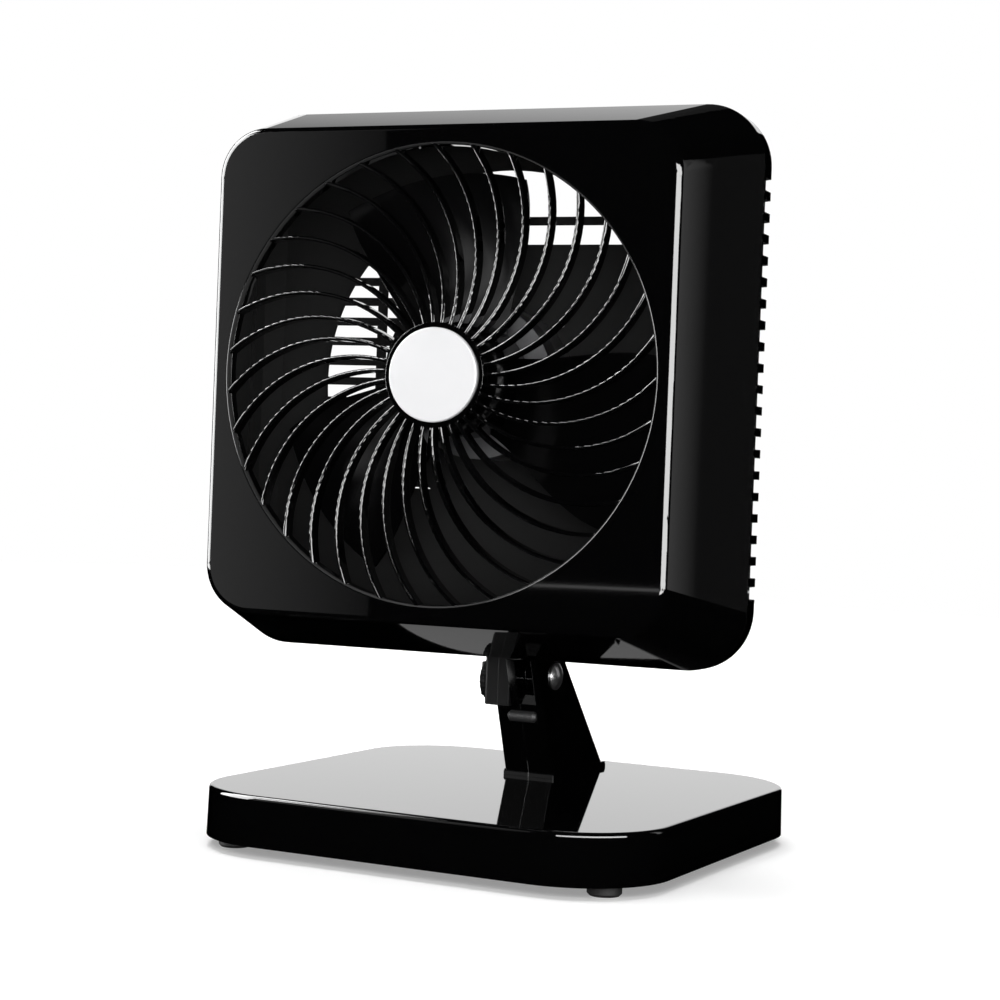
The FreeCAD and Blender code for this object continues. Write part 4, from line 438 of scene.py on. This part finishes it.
def chrome():
    """Bright plating of the tilt bolt."""
    return metal("Chrome", (0.62, 0.62, 0.63), smooth=0.24, dull=0.34, depth=0.1)


def cast_aluminium():
    """Dull grey casting of the motor's bells."""
    return metal("Cast aluminium", (0.14, 0.14, 0.145), smooth=0.35, dull=0.6, depth=0.6)


def core_steel():
    """Stacked steel sheets of the motor's cores, lined across the shaft."""
    return metal("Core steel", (0.28, 0.28, 0.29), smooth=0.35, dull=0.5, depth=0.4,
                 stretch=(0.05, 1, 0.05))


def copper():
    """Varnished copper of the windings."""
    tint = bpy.context.scene.fan_finish.copper_tint
    return metal("Copper wire", tint[:3], smooth=0.2, dull=0.4, depth=0.5)


def bronze():
    """Sintered bronze of the bushings."""
    return metal("Bronze", (0.5, 0.33, 0.16), smooth=0.3, dull=0.5, depth=0.2)


def painted_steel():
    """Black powder coat of the base plate, the weight and the tie barrel."""
    return finish_material(
        "Painted steel", "Fine grain",
        {"Tint": (0.015, 0.015, 0.016, 1), "Grain scale": 420.0, "Depth": 0.6,
         "Smooth": 0.4, "Dull": 0.6, "Mottle": 0.3}, IOR=1.5)


def white_nylon():
    """Milky nylon of the gears and the gearbox."""
    return finish_material(
        "White nylon", "Fine grain",
        {"Tint": (0.72, 0.7, 0.64, 1), "Grain scale": 700.0, "Depth": 0.2,
         "Smooth": 0.3, "Dull": 0.5, "Mottle": 0.12}, IOR=1.53)


def switch_brown():
    """Phenolic body of the rotary switch."""
    return finish_material(
        "Switch brown", "Fine grain",
        {"Tint": (0.1, 0.045, 0.025, 1), "Grain scale": 500.0, "Depth": 0.2,
         "Smooth": 0.3, "Dull": 0.5, "Mottle": 0.3}, IOR=1.55)


def dress(material, *names):
    """Give CAD nodes their finish."""
    for name in names:
        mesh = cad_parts[name].data
        mesh.materials.clear()
        mesh.materials.append(material)


# Detailed pieces

def clumps(node, axes):
    """Lowest and highest corner of each loose solid of a CAD node, in some axes."""
    shape = bmesh.new()
    shape.from_mesh(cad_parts[node].data)
    bmesh.ops.remove_doubles(shape, verts=shape.verts, dist=CAD_MERGE)
    bmesh.ops.transform(shape, matrix=axes.inverted(), verts=shape.verts)
    waiting = set(shape.verts)
    boxes = []
    while waiting:
        found = [waiting.pop()]
        for vert in found:
            for edge in vert.link_edges:
                other = edge.other_vert(vert)
                if other in waiting:
                    waiting.remove(other)
                    found.append(other)
        boxes.append((Vector([min(v.co[i] for v in found) for i in range(3)]),
                      Vector([max(v.co[i] for v in found) for i in range(3)])))
    shape.free()
    return boxes


def finish_piece(name, shape, material, body, slot, *replaced):
    """Turn a finished bmesh into a piece that rides on a body."""
    bmesh.ops.remove_doubles(shape, verts=shape.verts, dist=PIECE_MERGE)
    bmesh.ops.recalc_face_normals(shape, faces=shape.faces)
    for face in shape.faces:
        face.smooth = True
    mesh = bpy.data.meshes.new(name)
    shape.to_mesh(mesh)
    shape.free()
    mesh.set_sharp_from_angle(angle=SMOOTH_ANGLE)
    mesh.materials.append(material)
    item = bpy.data.objects.new(name, mesh)
    bpy.context.scene.collection.objects.link(item)
    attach(item, body)
    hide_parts(*replaced)
    return item


def chain(shape, points, closed=False):
    """A line of vertices and the edges between them."""
    verts = [shape.verts.new(point) for point in points]
    ends = verts[1:] + verts[:1] if closed else verts[1:]
    return verts, [shape.edges.new(pair) for pair in zip(verts, ends)]


def turn_profile(shape, points, steps):
    """Spin a profile of radius and height about the vertical axis."""
    verts, edges = chain(shape, [(radius, 0, height) for radius, height in points])
    bmesh.ops.spin(shape, geom=verts + edges, cent=(0, 0, 0), axis=(0, 0, 1),
                   dvec=(0, 0, 0), angle=FULL_TURN, steps=steps, use_merge=True)


def make_screw(head, height, stem, length):
    """Pan-head screw with a cross recess, its head's underside at height nought."""
    shape = bmesh.new()
    turn_profile(shape, [
        (0, -length), (TIP_WIDTH * stem, -length), (stem, -length + TIP_LENGTH * stem),
        (stem, 0), *[(across * head, up * height) for across, up in SCREW_HEAD_SHARES],
    ], SCREW_STEPS)
    rim = [edge for edge in shape.edges
           if all(vert.co.z > 0.99 * height for vert in edge.verts)]
    arm, half = CROSS_ARM * head, CROSS_HALF * head
    corners = [(arm, half), (half, half), (half, arm)]
    outline = []
    for quarter in range(4):
        turn = Matrix.Rotation(FULL_TURN * quarter / 4, 3, "Z")
        outline += [turn @ Vector((x, y, height)) for x, y in corners]
    cross = chain(shape, outline, closed=True)[1]
    bmesh.ops.bridge_loops(shape, edges=rim + cross)
    made = bmesh.ops.extrude_edge_only(shape, edges=cross)["geom"]
    low = [item for item in made if isinstance(item, bmesh.types.BMVert)]
    bmesh.ops.scale(shape, vec=(CROSS_FLOOR, CROSS_FLOOR, 1), verts=low)
    bmesh.ops.translate(shape, vec=(0, 0, -CROSS_DEPTH * height), verts=low)
    floor = [item for item in made if isinstance(item, bmesh.types.BMEdge)
             and all(vert in low for vert in item.verts)]
    bmesh.ops.contextual_create(shape, geom=floor)
    return shape


def add_copy(shape, pattern, matrix):
    """Put a copy of a pattern into a bmesh at a place."""
    mesh = bpy.data.meshes.new("pattern")
    pattern.to_mesh(mesh)
    mesh.transform(matrix)
    shape.from_mesh(mesh)
    bpy.data.meshes.remove(mesh)


def screw_set(name, node, body, axes, out, height, stem):
    """Screws with cross recesses in place of a node's plain ones."""
    steer = axes @ Vector((0, 0, 1)).rotation_difference(out).to_matrix().to_4x4()
    shape = bmesh.new()
    for low, high in clumps(node, steer):
        head = (high.x - low.x) / 2
        pattern = make_screw(head, height, stem, high.z - low.z - height)
        seat = Vector(((low.x + high.x) / 2, (low.y + high.y) / 2, high.z - height))
        add_copy(shape, pattern, steer @ Matrix.Translation(seat))
        pattern.free()
    return finish_piece(name, shape, zinc(), body, "zinc_steel", node)


def make_knob(radius, reach, stem, depth):
    """Fluted disc with a wing grip and a stem, its back face at height nought."""
    shape = bmesh.new()
    bmesh.ops.create_circle(shape, cap_ends=True, segments=DIAL_SEGMENTS, radius=radius)
    for index, vert in enumerate(shape.verts):
        if index % FLUTE_CORNERS < FLUTE_CORNERS / 2:
            vert.co *= FLUTE
    made = bmesh.ops.extrude_face_region(shape, geom=shape.faces[:], use_keep_orig=True)
    raised = [item for item in made["geom"] if isinstance(item, bmesh.types.BMVert)]
    bmesh.ops.translate(shape, vec=(0, 0, DISC_REACH * reach), verts=raised)
    top = [item for item in made["geom"] if isinstance(item, bmesh.types.BMFace)]
    bmesh.ops.inset_region(shape, faces=top, thickness=RIM_WIDTH * radius,
                           depth=RIM_RISE * reach)
    bmesh.ops.inset_region(shape, faces=top, thickness=FACE_WIDTH * radius,
                           depth=-FACE_SINK * reach)
    grip = bmesh.ops.create_cube(shape, size=1)["verts"]
    bmesh.ops.scale(shape, vec=(GRIP_LENGTH * radius, GRIP_WIDTH * radius,
                                GRIP_REACH * reach), verts=grip)
    bmesh.ops.translate(shape, vec=(0, 0, (1 - GRIP_REACH / 2) * reach), verts=grip)
    crest = [vert for vert in grip if vert.co.z > 0.9 * reach]
    bmesh.ops.scale(shape, vec=(CREST_LENGTH, CREST_WIDTH, 1), verts=crest)
    edges = list({edge for vert in grip for edge in vert.link_edges})
    bmesh.ops.bevel(shape, geom=edges, offset=GRIP_BEVEL * radius,
                    segments=GRIP_BEVEL_STEPS, profile=0.5, affect="EDGES", material=-1)
    turn_profile(shape, [(0, -depth), (stem, -depth), (stem, STEM_OVERLAP * reach),
                         (0, STEM_OVERLAP * reach)], DIAL_STEM_STEPS)
    return shape


def make_winding(inner, outer, length, wire):
    """Ring of round wires laid side by side about the shaft."""
    shape = bmesh.new()
    across = int((outer - inner) / (2 * wire))
    along = int(length / (2 * wire))
    for column in range(across):
        for row in range(along):
            if column not in (0, across - 1) and row not in (0, along - 1):
                continue
            place = Matrix.Translation((inner + wire * (2 * column + 1), 0,
                                        wire * (2 * row + 1)))
            made = bmesh.ops.create_circle(
                shape, segments=WIRE_SIDES, radius=wire,
                matrix=place @ Matrix.Rotation(math.radians(90), 4, "X"))["verts"]
            loop = list({edge for vert in made for edge in vert.link_edges})
            bmesh.ops.spin(shape, geom=made + loop, cent=(0, 0, 0), axis=(0, 0, 1),
                           dvec=(0, 0, 0), angle=FULL_TURN, steps=COIL_STEPS, use_merge=True)
    return shape


# Operators, one for each group of like pieces

class FanOperator(bpy.types.Operator):
    """Shared options of the fan's operators."""
    bl_options = {"REGISTER", "UNDO"}


class FAN_OT_housings(FanOperator):
    """Gloss black of the head, the base, the column and the neck."""
    bl_idname = "fan.housings"
    bl_label = "Housings"

    def execute(self, context):
        dress(gloss_black(), "front_grille", "motor_hood", "base_shell",
              "column_left_half", "column_right_half", "neck_arm")
        dress(outer_gloss(60 * MM), "front_shell")
        dress(outer_gloss(0), "rear_cover")
        return {"FINISHED"}


class FAN_OT_controls(FanOperator):
    """Satin black of the switch box and both knobs, and the painted tie barrel."""
    bl_idname = "fan.controls"
    bl_label = "Controls"

    def execute(self, context):
        dress(satin_black(), "switch_housing", "switch_cover", "oscillation_knob")
        dress(painted_steel(), "tie_barrel")
        dress(switch_brown(), "rotary_switch")
        leftwards = Matrix.Rotation(math.radians(-90), 4, "Y")
        low, high = clumps("speed_knob", leftwards)[0]
        pattern = make_knob((high.x - low.x) / 2, DIAL_REACH, DIAL_STEM,
                            high.z - low.z - DIAL_REACH)
        seat = Vector(((low.x + high.x) / 2, (low.y + high.y) / 2, high.z - DIAL_REACH))
        shape = bmesh.new()
        add_copy(shape, pattern, leftwards @ Matrix.Translation(seat))
        pattern.free()
        finish_piece("speed_dial", shape, satin_black(), "knob", "satin_black",
                     "speed_knob")
        return {"FINISHED"}


class FAN_OT_blades(FanOperator):
    """Half-gloss black of the blades and the nut that holds them."""
    bl_idname = "fan.blades"
    bl_label = "Blades"

    def execute(self, context):
        dress(blade_black(), "fan_blades", "hub_nut")
        return {"FINISHED"}


class FAN_OT_badge(FanOperator):
    """Plain silver badge in the middle of the grille."""
    bl_idname = "fan.badge"
    bl_label = "Badge"

    def execute(self, context):
        dress(badge_silver(), "badge")
        return {"FINISHED"}


class FAN_OT_feet(FanOperator):
    """Rubber feet and cord grommet."""
    bl_idname = "fan.feet"
    bl_label = "Feet and grommet"

    def execute(self, context):
        dress(rubber(), "rubber_feet", "cord_grommet")
        return {"FINISHED"}


class FAN_OT_fasteners(FanOperator):
    """Chrome bolt, zinc screws and the steel plates in the base."""
    bl_idname = "fan.fasteners"
    bl_label = "Fasteners and plates"

    def execute(self, context):
        dress(chrome(), "tilt_bolt")
        dress(zinc(), "column_screws", "tilt_nut", "tilt_washers", "swivel_post", "circlip",
              "link_screw", "grille_screws", "motor_screws", "gearbox_screws",
              "link_rod", "rotor_shaft")
        dress(painted_steel(), "base_plate", "ballast_plate")
        back = Vector((0, 1, 0))
        screw_set("shell_screw_set", "shell_screws", "head", HEAD_AXES, back,
                  SCREW_HEAD, SCREW_STEM)
        screw_set("hood_screw_set", "hood_screws", "head", HEAD_AXES, back,
                  HOOD_SCREW_HEAD, HOOD_SCREW_STEM)
        screw_set("foot_screw_set", "foot_screws", "base", Matrix.Identity(4),
                  Vector((0, 0, -1)), SCREW_HEAD, SCREW_STEM)
        return {"FINISHED"}


class FAN_OT_motor(FanOperator):
    """Cast bells, steel cores, copper windings and bronze bushings."""
    bl_idname = "fan.motor"
    bl_label = "Motor"

    def execute(self, context):
        dress(cast_aluminium(), "motor_front_bell", "motor_rear_bell")
        dress(core_steel(), "stator", "rotor_core")
        steer = HEAD_AXES @ Matrix.Rotation(math.radians(-90), 4, "X")
        shape = bmesh.new()
        for low, high in clumps("motor_windings", steer):
            outer = (high.x - low.x) / 2
            pattern = make_winding(COIL_HOLE * outer, outer, high.z - low.z,
                                   context.scene.fan_motor.wire_radius)
            seat = Vector(((low.x + high.x) / 2, (low.y + high.y) / 2, low.z))
            add_copy(shape, pattern, steer @ Matrix.Translation(seat))
            pattern.free()
        finish_piece("wound_coils", shape, copper(), "head", "copper_wire",
                     "motor_windings")
        dress(bronze(), "motor_bushings", "swivel_bushing")
        return {"FINISHED"}


class FAN_OT_gears(FanOperator):
    """Milky nylon of the gearbox, the gears and the thrust washer."""
    bl_idname = "fan.gears"
    bl_label = "Gearbox"

    def execute(self, context):
        dress(white_nylon(), "gearbox_case", "gearbox_lid", "worm_gear", "crank_gear",
              "thrust_washer")
        return {"FINISHED"}


# Stage: floor, backdrop, world, lamps and camera

CAMERA_PLACE = Vector((0.52878, -1.04651, 0.19792))
CAMERA_YAW = math.radians(26.696)
CAMERA_PITCH = math.radians(0.654)
CAMERA_ROLL = math.radians(2.237)
CAMERA_LENS = 78.05
SENSOR_WIDTH = 36.0
DIM_WORLD = 0.25
FLOOR_SHADE = 0.8
FLOOR_SEGMENTS = 96
FLAG_RADIUS, FLAG_SEGMENTS, FLAG_HEIGHT = 2.9, 64, 0.5 * MM
BACKDROP_LEFT, BACKDROP_RIGHT, BACKDROP_TOP = -2.8, -0.1, 2.2
AIM = Vector((0, 0, 0.25))

# Ramps of brightness: where each starts and ends, then its two levels
FLOOR_GLOW = (0.25, 0.9, 0.3, 1.0)
WALL_GLOW = (1.2, 1.4, 1.0, 0.02)
RIGHT_GLOW_START, RIGHT_GLOW_END, RIGHT_GLOW_LEVELS = 0.215, 0.34, (0.8, 0.03)
LEFT_GLOW_END, LEFT_GLOW_LEVELS = -0.2, (0.08, 0.5)

# Upright cards by the head: sideways and backwards of each end, then bottom and top
RIGHT_CARD = ((1.255, 0.74), (1.245, 1.25), -0.2, 0.9)
LEFT_CARD = ((-0.394, -0.8), (-0.7, -0.8), 0.05, 0.9)


def stage_material(name):
    """An empty material, its tree and its output, for a piece of the stage."""
    material = bpy.data.materials.new(name)
    material.use_nodes = True
    tree = material.node_tree
    tree.nodes.clear()
    return material, tree, tree.nodes.new("ShaderNodeOutputMaterial")


def ramp(tree, source, start, end, low, high):
    """A value that runs from one level to another between two places, and stops there."""
    node = tree.nodes.new("ShaderNodeMapRange")
    tree.links.new(source, node.inputs["Value"])
    for label, value in (("From Min", start), ("From Max", end), ("To Min", low),
                         ("To Max", high)):
        node.inputs[label].default_value = value
    return node.outputs["Result"]


def seen_directly(tree):
    """One for rays of the camera, of reflections and of clear pieces, else nought."""
    path = tree.nodes.new("ShaderNodeLightPath")
    seen = math_node(tree, "MAXIMUM", path.outputs["Is Camera Ray"],
                     path.outputs["Is Glossy Ray"])
    return math_node(tree, "MAXIMUM", seen, path.outputs["Is Transmission Ray"])


def flat_shader(tree, shade):
    """A plain grey surface without gloss."""
    diffuse = tree.nodes.new("ShaderNodeBsdfDiffuse")
    diffuse.inputs["Color"].default_value = (shade, shade, shade, 1)
    return diffuse.outputs["BSDF"]


def glow_shader(tree, strength):
    """Light that direct and mirrored rays see, and that lights nothing else."""
    light = tree.nodes.new("ShaderNodeEmission")
    tree.links.new(math_node(tree, "MULTIPLY", seen_directly(tree), strength),
                   light.inputs["Strength"])
    return light.outputs["Emission"]


def floor_material():
    """Pale floor that keeps the shadow near the fan and is plain white farther off."""
    material, tree, output = stage_material("Pale floor")
    away = tree.nodes.new("ShaderNodeVectorMath")
    away.operation = "LENGTH"
    tree.links.new(object_place(tree), away.inputs[0])
    glow = ramp(tree, away.outputs["Value"], *FLOOR_GLOW)
    add = tree.nodes.new("ShaderNodeAddShader")
    tree.links.new(flat_shader(tree, FLOOR_SHADE), add.inputs[0])
    tree.links.new(glow_shader(tree, glow), add.inputs[1])
    tree.links.new(add.outputs["Shader"], output.inputs["Surface"])
    return material


def glow_material(name, axis, start, end, low, high):
    """A card that glows to direct and mirrored rays, with a ramp along one of its axes."""
    material, tree, output = stage_material(name)
    axes = tree.nodes.new("ShaderNodeSeparateXYZ")
    tree.links.new(object_place(tree), axes.inputs["Vector"])
    glow = ramp(tree, axes.outputs[axis], start, end, low, high)
    tree.links.new(glow_shader(tree, glow), output.inputs["Surface"])
    return material


def stage_mesh(name, build, material):
    """A stage object from a bmesh."""
    mesh = bpy.data.meshes.new(name)
    shape = bmesh.new()
    build(shape)
    bmesh.ops.recalc_face_normals(shape, faces=shape.faces)
    shape.to_mesh(mesh)
    shape.free()
    mesh.materials.append(material)
    item = bpy.data.objects.new(name, mesh)
    bpy.context.scene.collection.objects.link(item)
    return item


def around(angle, distance, height):
    """A place about the fan, at an angle in degrees from its front towards its right."""
    turn = math.radians(angle)
    return Vector((distance * math.sin(turn), -distance * math.cos(turn), height))


def add_lamp(name, place, width, height, radiance, lights=True, mirrors=True):
    """A rectangular area lamp that faces the fan, given by how bright its face is."""
    light = bpy.data.lights.new(name, "AREA")
    light.shape = "RECTANGLE"
    light.size = width
    light.size_y = height
    light.energy = radiance * math.pi * width * height
    lamp = bpy.data.objects.new(name, light)
    lamp.location = place
    lamp.rotation_euler = (AIM - place).to_track_quat("-Z", "Y").to_euler()
    lamp.visible_camera = False
    lamp.visible_diffuse = lights
    lamp.visible_glossy = mirrors
    bpy.context.scene.collection.objects.link(lamp)
    return lamp


def black_card():
    """Plain black of the card that keeps the floor out of the gloss."""
    material, tree, output = stage_material("Black card")
    tree.links.new(flat_shader(tree, 0), output.inputs["Surface"])
    return material


def by_head(sideways, backwards):
    """A place by the head, measured along its own axes from the middle of its front."""
    return HEAD_CENTRE + HEAD_SIDEWAYS * sideways + HEAD_BACKWARDS * backwards


def add_disc(name, radius, segments, height, material):
    """A level disc about the middle of the stage."""
    def build(shape):
        bmesh.ops.create_circle(shape, cap_ends=True, segments=segments, radius=radius)
        bmesh.ops.translate(shape, vec=(0, 0, height), verts=shape.verts)

    return stage_mesh(name, build, material)


def upright_card(name, low, high, bottom, top, material):
    """A level strip of card between two places."""
    def build(shape):
        corners = [(low.x, low.y, bottom), (high.x, high.y, bottom),
                   (high.x, high.y, top), (low.x, low.y, top)]
        shape.faces.new([shape.verts.new(corner) for corner in corners])

    return stage_mesh(name, build, material)


def mirror_only(item):
    """Leave an object of the stage to reflections alone."""
    item.visible_camera = False
    item.visible_diffuse = False
    item.visible_shadow = False
    item.visible_transmission = False


def build_world():
    """White to the camera, and dim elsewhere so that the gloss stays black."""
    world = bpy.data.worlds.new("Studio")
    bpy.context.scene.world = world
    world.use_nodes = True
    tree = world.node_tree
    tree.nodes.clear()
    output = tree.nodes.new("ShaderNodeOutputWorld")
    background = tree.nodes.new("ShaderNodeBackground")
    path = tree.nodes.new("ShaderNodeLightPath")
    shared = math_node(tree, "SUBTRACT", 1, path.outputs["Is Glossy Ray"])
    dim = math_node(tree, "MULTIPLY", shared, DIM_WORLD)
    tree.links.new(math_node(tree, "MAXIMUM", path.outputs["Is Camera Ray"], dim),
                   background.inputs["Strength"])
    background.inputs["Color"].default_value = (1, 1, 1, 1)
    tree.links.new(background.outputs["Background"], output.inputs["Surface"])


def build_camera():
    """The camera at the photograph's viewpoint."""
    right = Vector((math.cos(CAMERA_YAW), math.sin(CAMERA_YAW), 0))
    ahead = Vector((-math.sin(CAMERA_YAW) * math.cos(CAMERA_PITCH),
                    math.cos(CAMERA_YAW) * math.cos(CAMERA_PITCH),
                    -math.sin(CAMERA_PITCH)))
    up = right.cross(ahead)
    level = right * math.cos(CAMERA_ROLL) + up * math.sin(CAMERA_ROLL)
    top = up * math.cos(CAMERA_ROLL) - right * math.sin(CAMERA_ROLL)
    data = bpy.data.cameras.new("Camera")
    data.lens = CAMERA_LENS
    data.sensor_width = SENSOR_WIDTH
    camera = bpy.data.objects.new("Camera", data)
    turn = Matrix((level, top, -ahead)).transposed()
    camera.matrix_world = Matrix.Translation(CAMERA_PLACE) @ turn.to_4x4()
    bpy.context.scene.collection.objects.link(camera)
    bpy.context.scene.camera = camera


class FAN_OT_stage(FanOperator):
    """Pale floor and backdrop, soft lamps and the camera."""
    bl_idname = "fan.stage"
    bl_label = "Stage"

    def execute(self, context):
        settings = context.scene.fan_stage
        context.scene.view_settings.view_transform = "Standard"
        build_world()
        distance = settings.backdrop_distance
        add_disc("floor", settings.floor_radius, FLOOR_SEGMENTS, 0, floor_material())
        upright_card("backdrop", Vector((BACKDROP_LEFT, distance, 0)),
                     Vector((BACKDROP_RIGHT, distance, 0)), 0, BACKDROP_TOP,
                     glow_material("Pale wall", "Z", *WALL_GLOW))
        mirror_only(add_disc("floor_flag", FLAG_RADIUS, FLAG_SEGMENTS, FLAG_HEIGHT,
                             black_card()))
        near, far, bottom, top = RIGHT_CARD
        start = by_head(*near)
        mirror_only(upright_card(
            "card_right", start, by_head(*far), bottom, top,
            glow_material("Grey card", "Y", start.y + RIGHT_GLOW_START,
                          start.y + RIGHT_GLOW_END, *RIGHT_GLOW_LEVELS)))
        near, far, bottom, top = LEFT_CARD
        start = by_head(*near)
        mirror_only(upright_card(
            "card_left", start, by_head(*far), bottom, top,
            glow_material("Dim card", "X", start.x, start.x + LEFT_GLOW_END,
                          *LEFT_GLOW_LEVELS)))

        # Place, width, height and brightness of each lamp. The first two light the part
        # and stay out of its gloss, and the softboxes show in the gloss alone.
        add_lamp("lamp_above", Vector((-0.2, 0.1, 1.9)), 1.6, 1.4, settings.key_light,
                 mirrors=False)
        add_lamp("lamp_front", around(20, 1.6, 0.8), 0.8, 0.6, settings.front_light,
                 mirrors=False)
        for name, place, width, height in (
                ("softbox_right", around(45, 1.5, 0.3), 2.3, 0.8),
                ("softbox_high", around(-75, 1.0, 1.2), 0.8, 0.5),
                ("softbox_left", around(-62, 1.5, 0.6), 1.34, 1.4)):
            add_lamp(name, place, width, height, settings.edge_light, lights=False)
        build_camera()
        return {"FINISHED"}


STEPS = (
    FAN_OT_stage, FAN_OT_housings, FAN_OT_controls, FAN_OT_blades, FAN_OT_badge,
    FAN_OT_feet, FAN_OT_fasteners, FAN_OT_motor, FAN_OT_gears,
)


class FAN_PT_sidebar(bpy.types.Panel):
    """Lists the fan's steps and settings."""
    bl_idname = "FAN_PT_sidebar"
    bl_label = "Table fan"
    bl_space_type = "VIEW_3D"
    bl_region_type = "UI"
    bl_category = "Fan"

    def draw(self, context):
        for step in STEPS:
            self.layout.operator(step.bl_idname)
        for group in (context.scene.fan_finish, context.scene.fan_stage,
                      context.scene.fan_motor):
            for label in group.__annotations__:
                self.layout.prop(group, label)


CLASSES = (FinishSettings, StageSettings, MotorSettings, *STEPS, FAN_PT_sidebar)


def register():
    for item in CLASSES:
        bpy.utils.register_class(item)
    bpy.types.Scene.fan_finish = PointerProperty(type=FinishSettings)
    bpy.types.Scene.fan_stage = PointerProperty(type=StageSettings)
    bpy.types.Scene.fan_motor = PointerProperty(type=MotorSettings)


def unregister():
    del bpy.types.Scene.fan_motor
    del bpy.types.Scene.fan_stage
    del bpy.types.Scene.fan_finish
    for item in reversed(CLASSES):
        bpy.utils.unregister_class(item)


def main():
    """Run every step in order."""
    register()
    for step in STEPS:
        family, name = step.bl_idname.split(".")
        getattr(getattr(bpy.ops, family), name)()


if __name__ == "__main__":
    main()
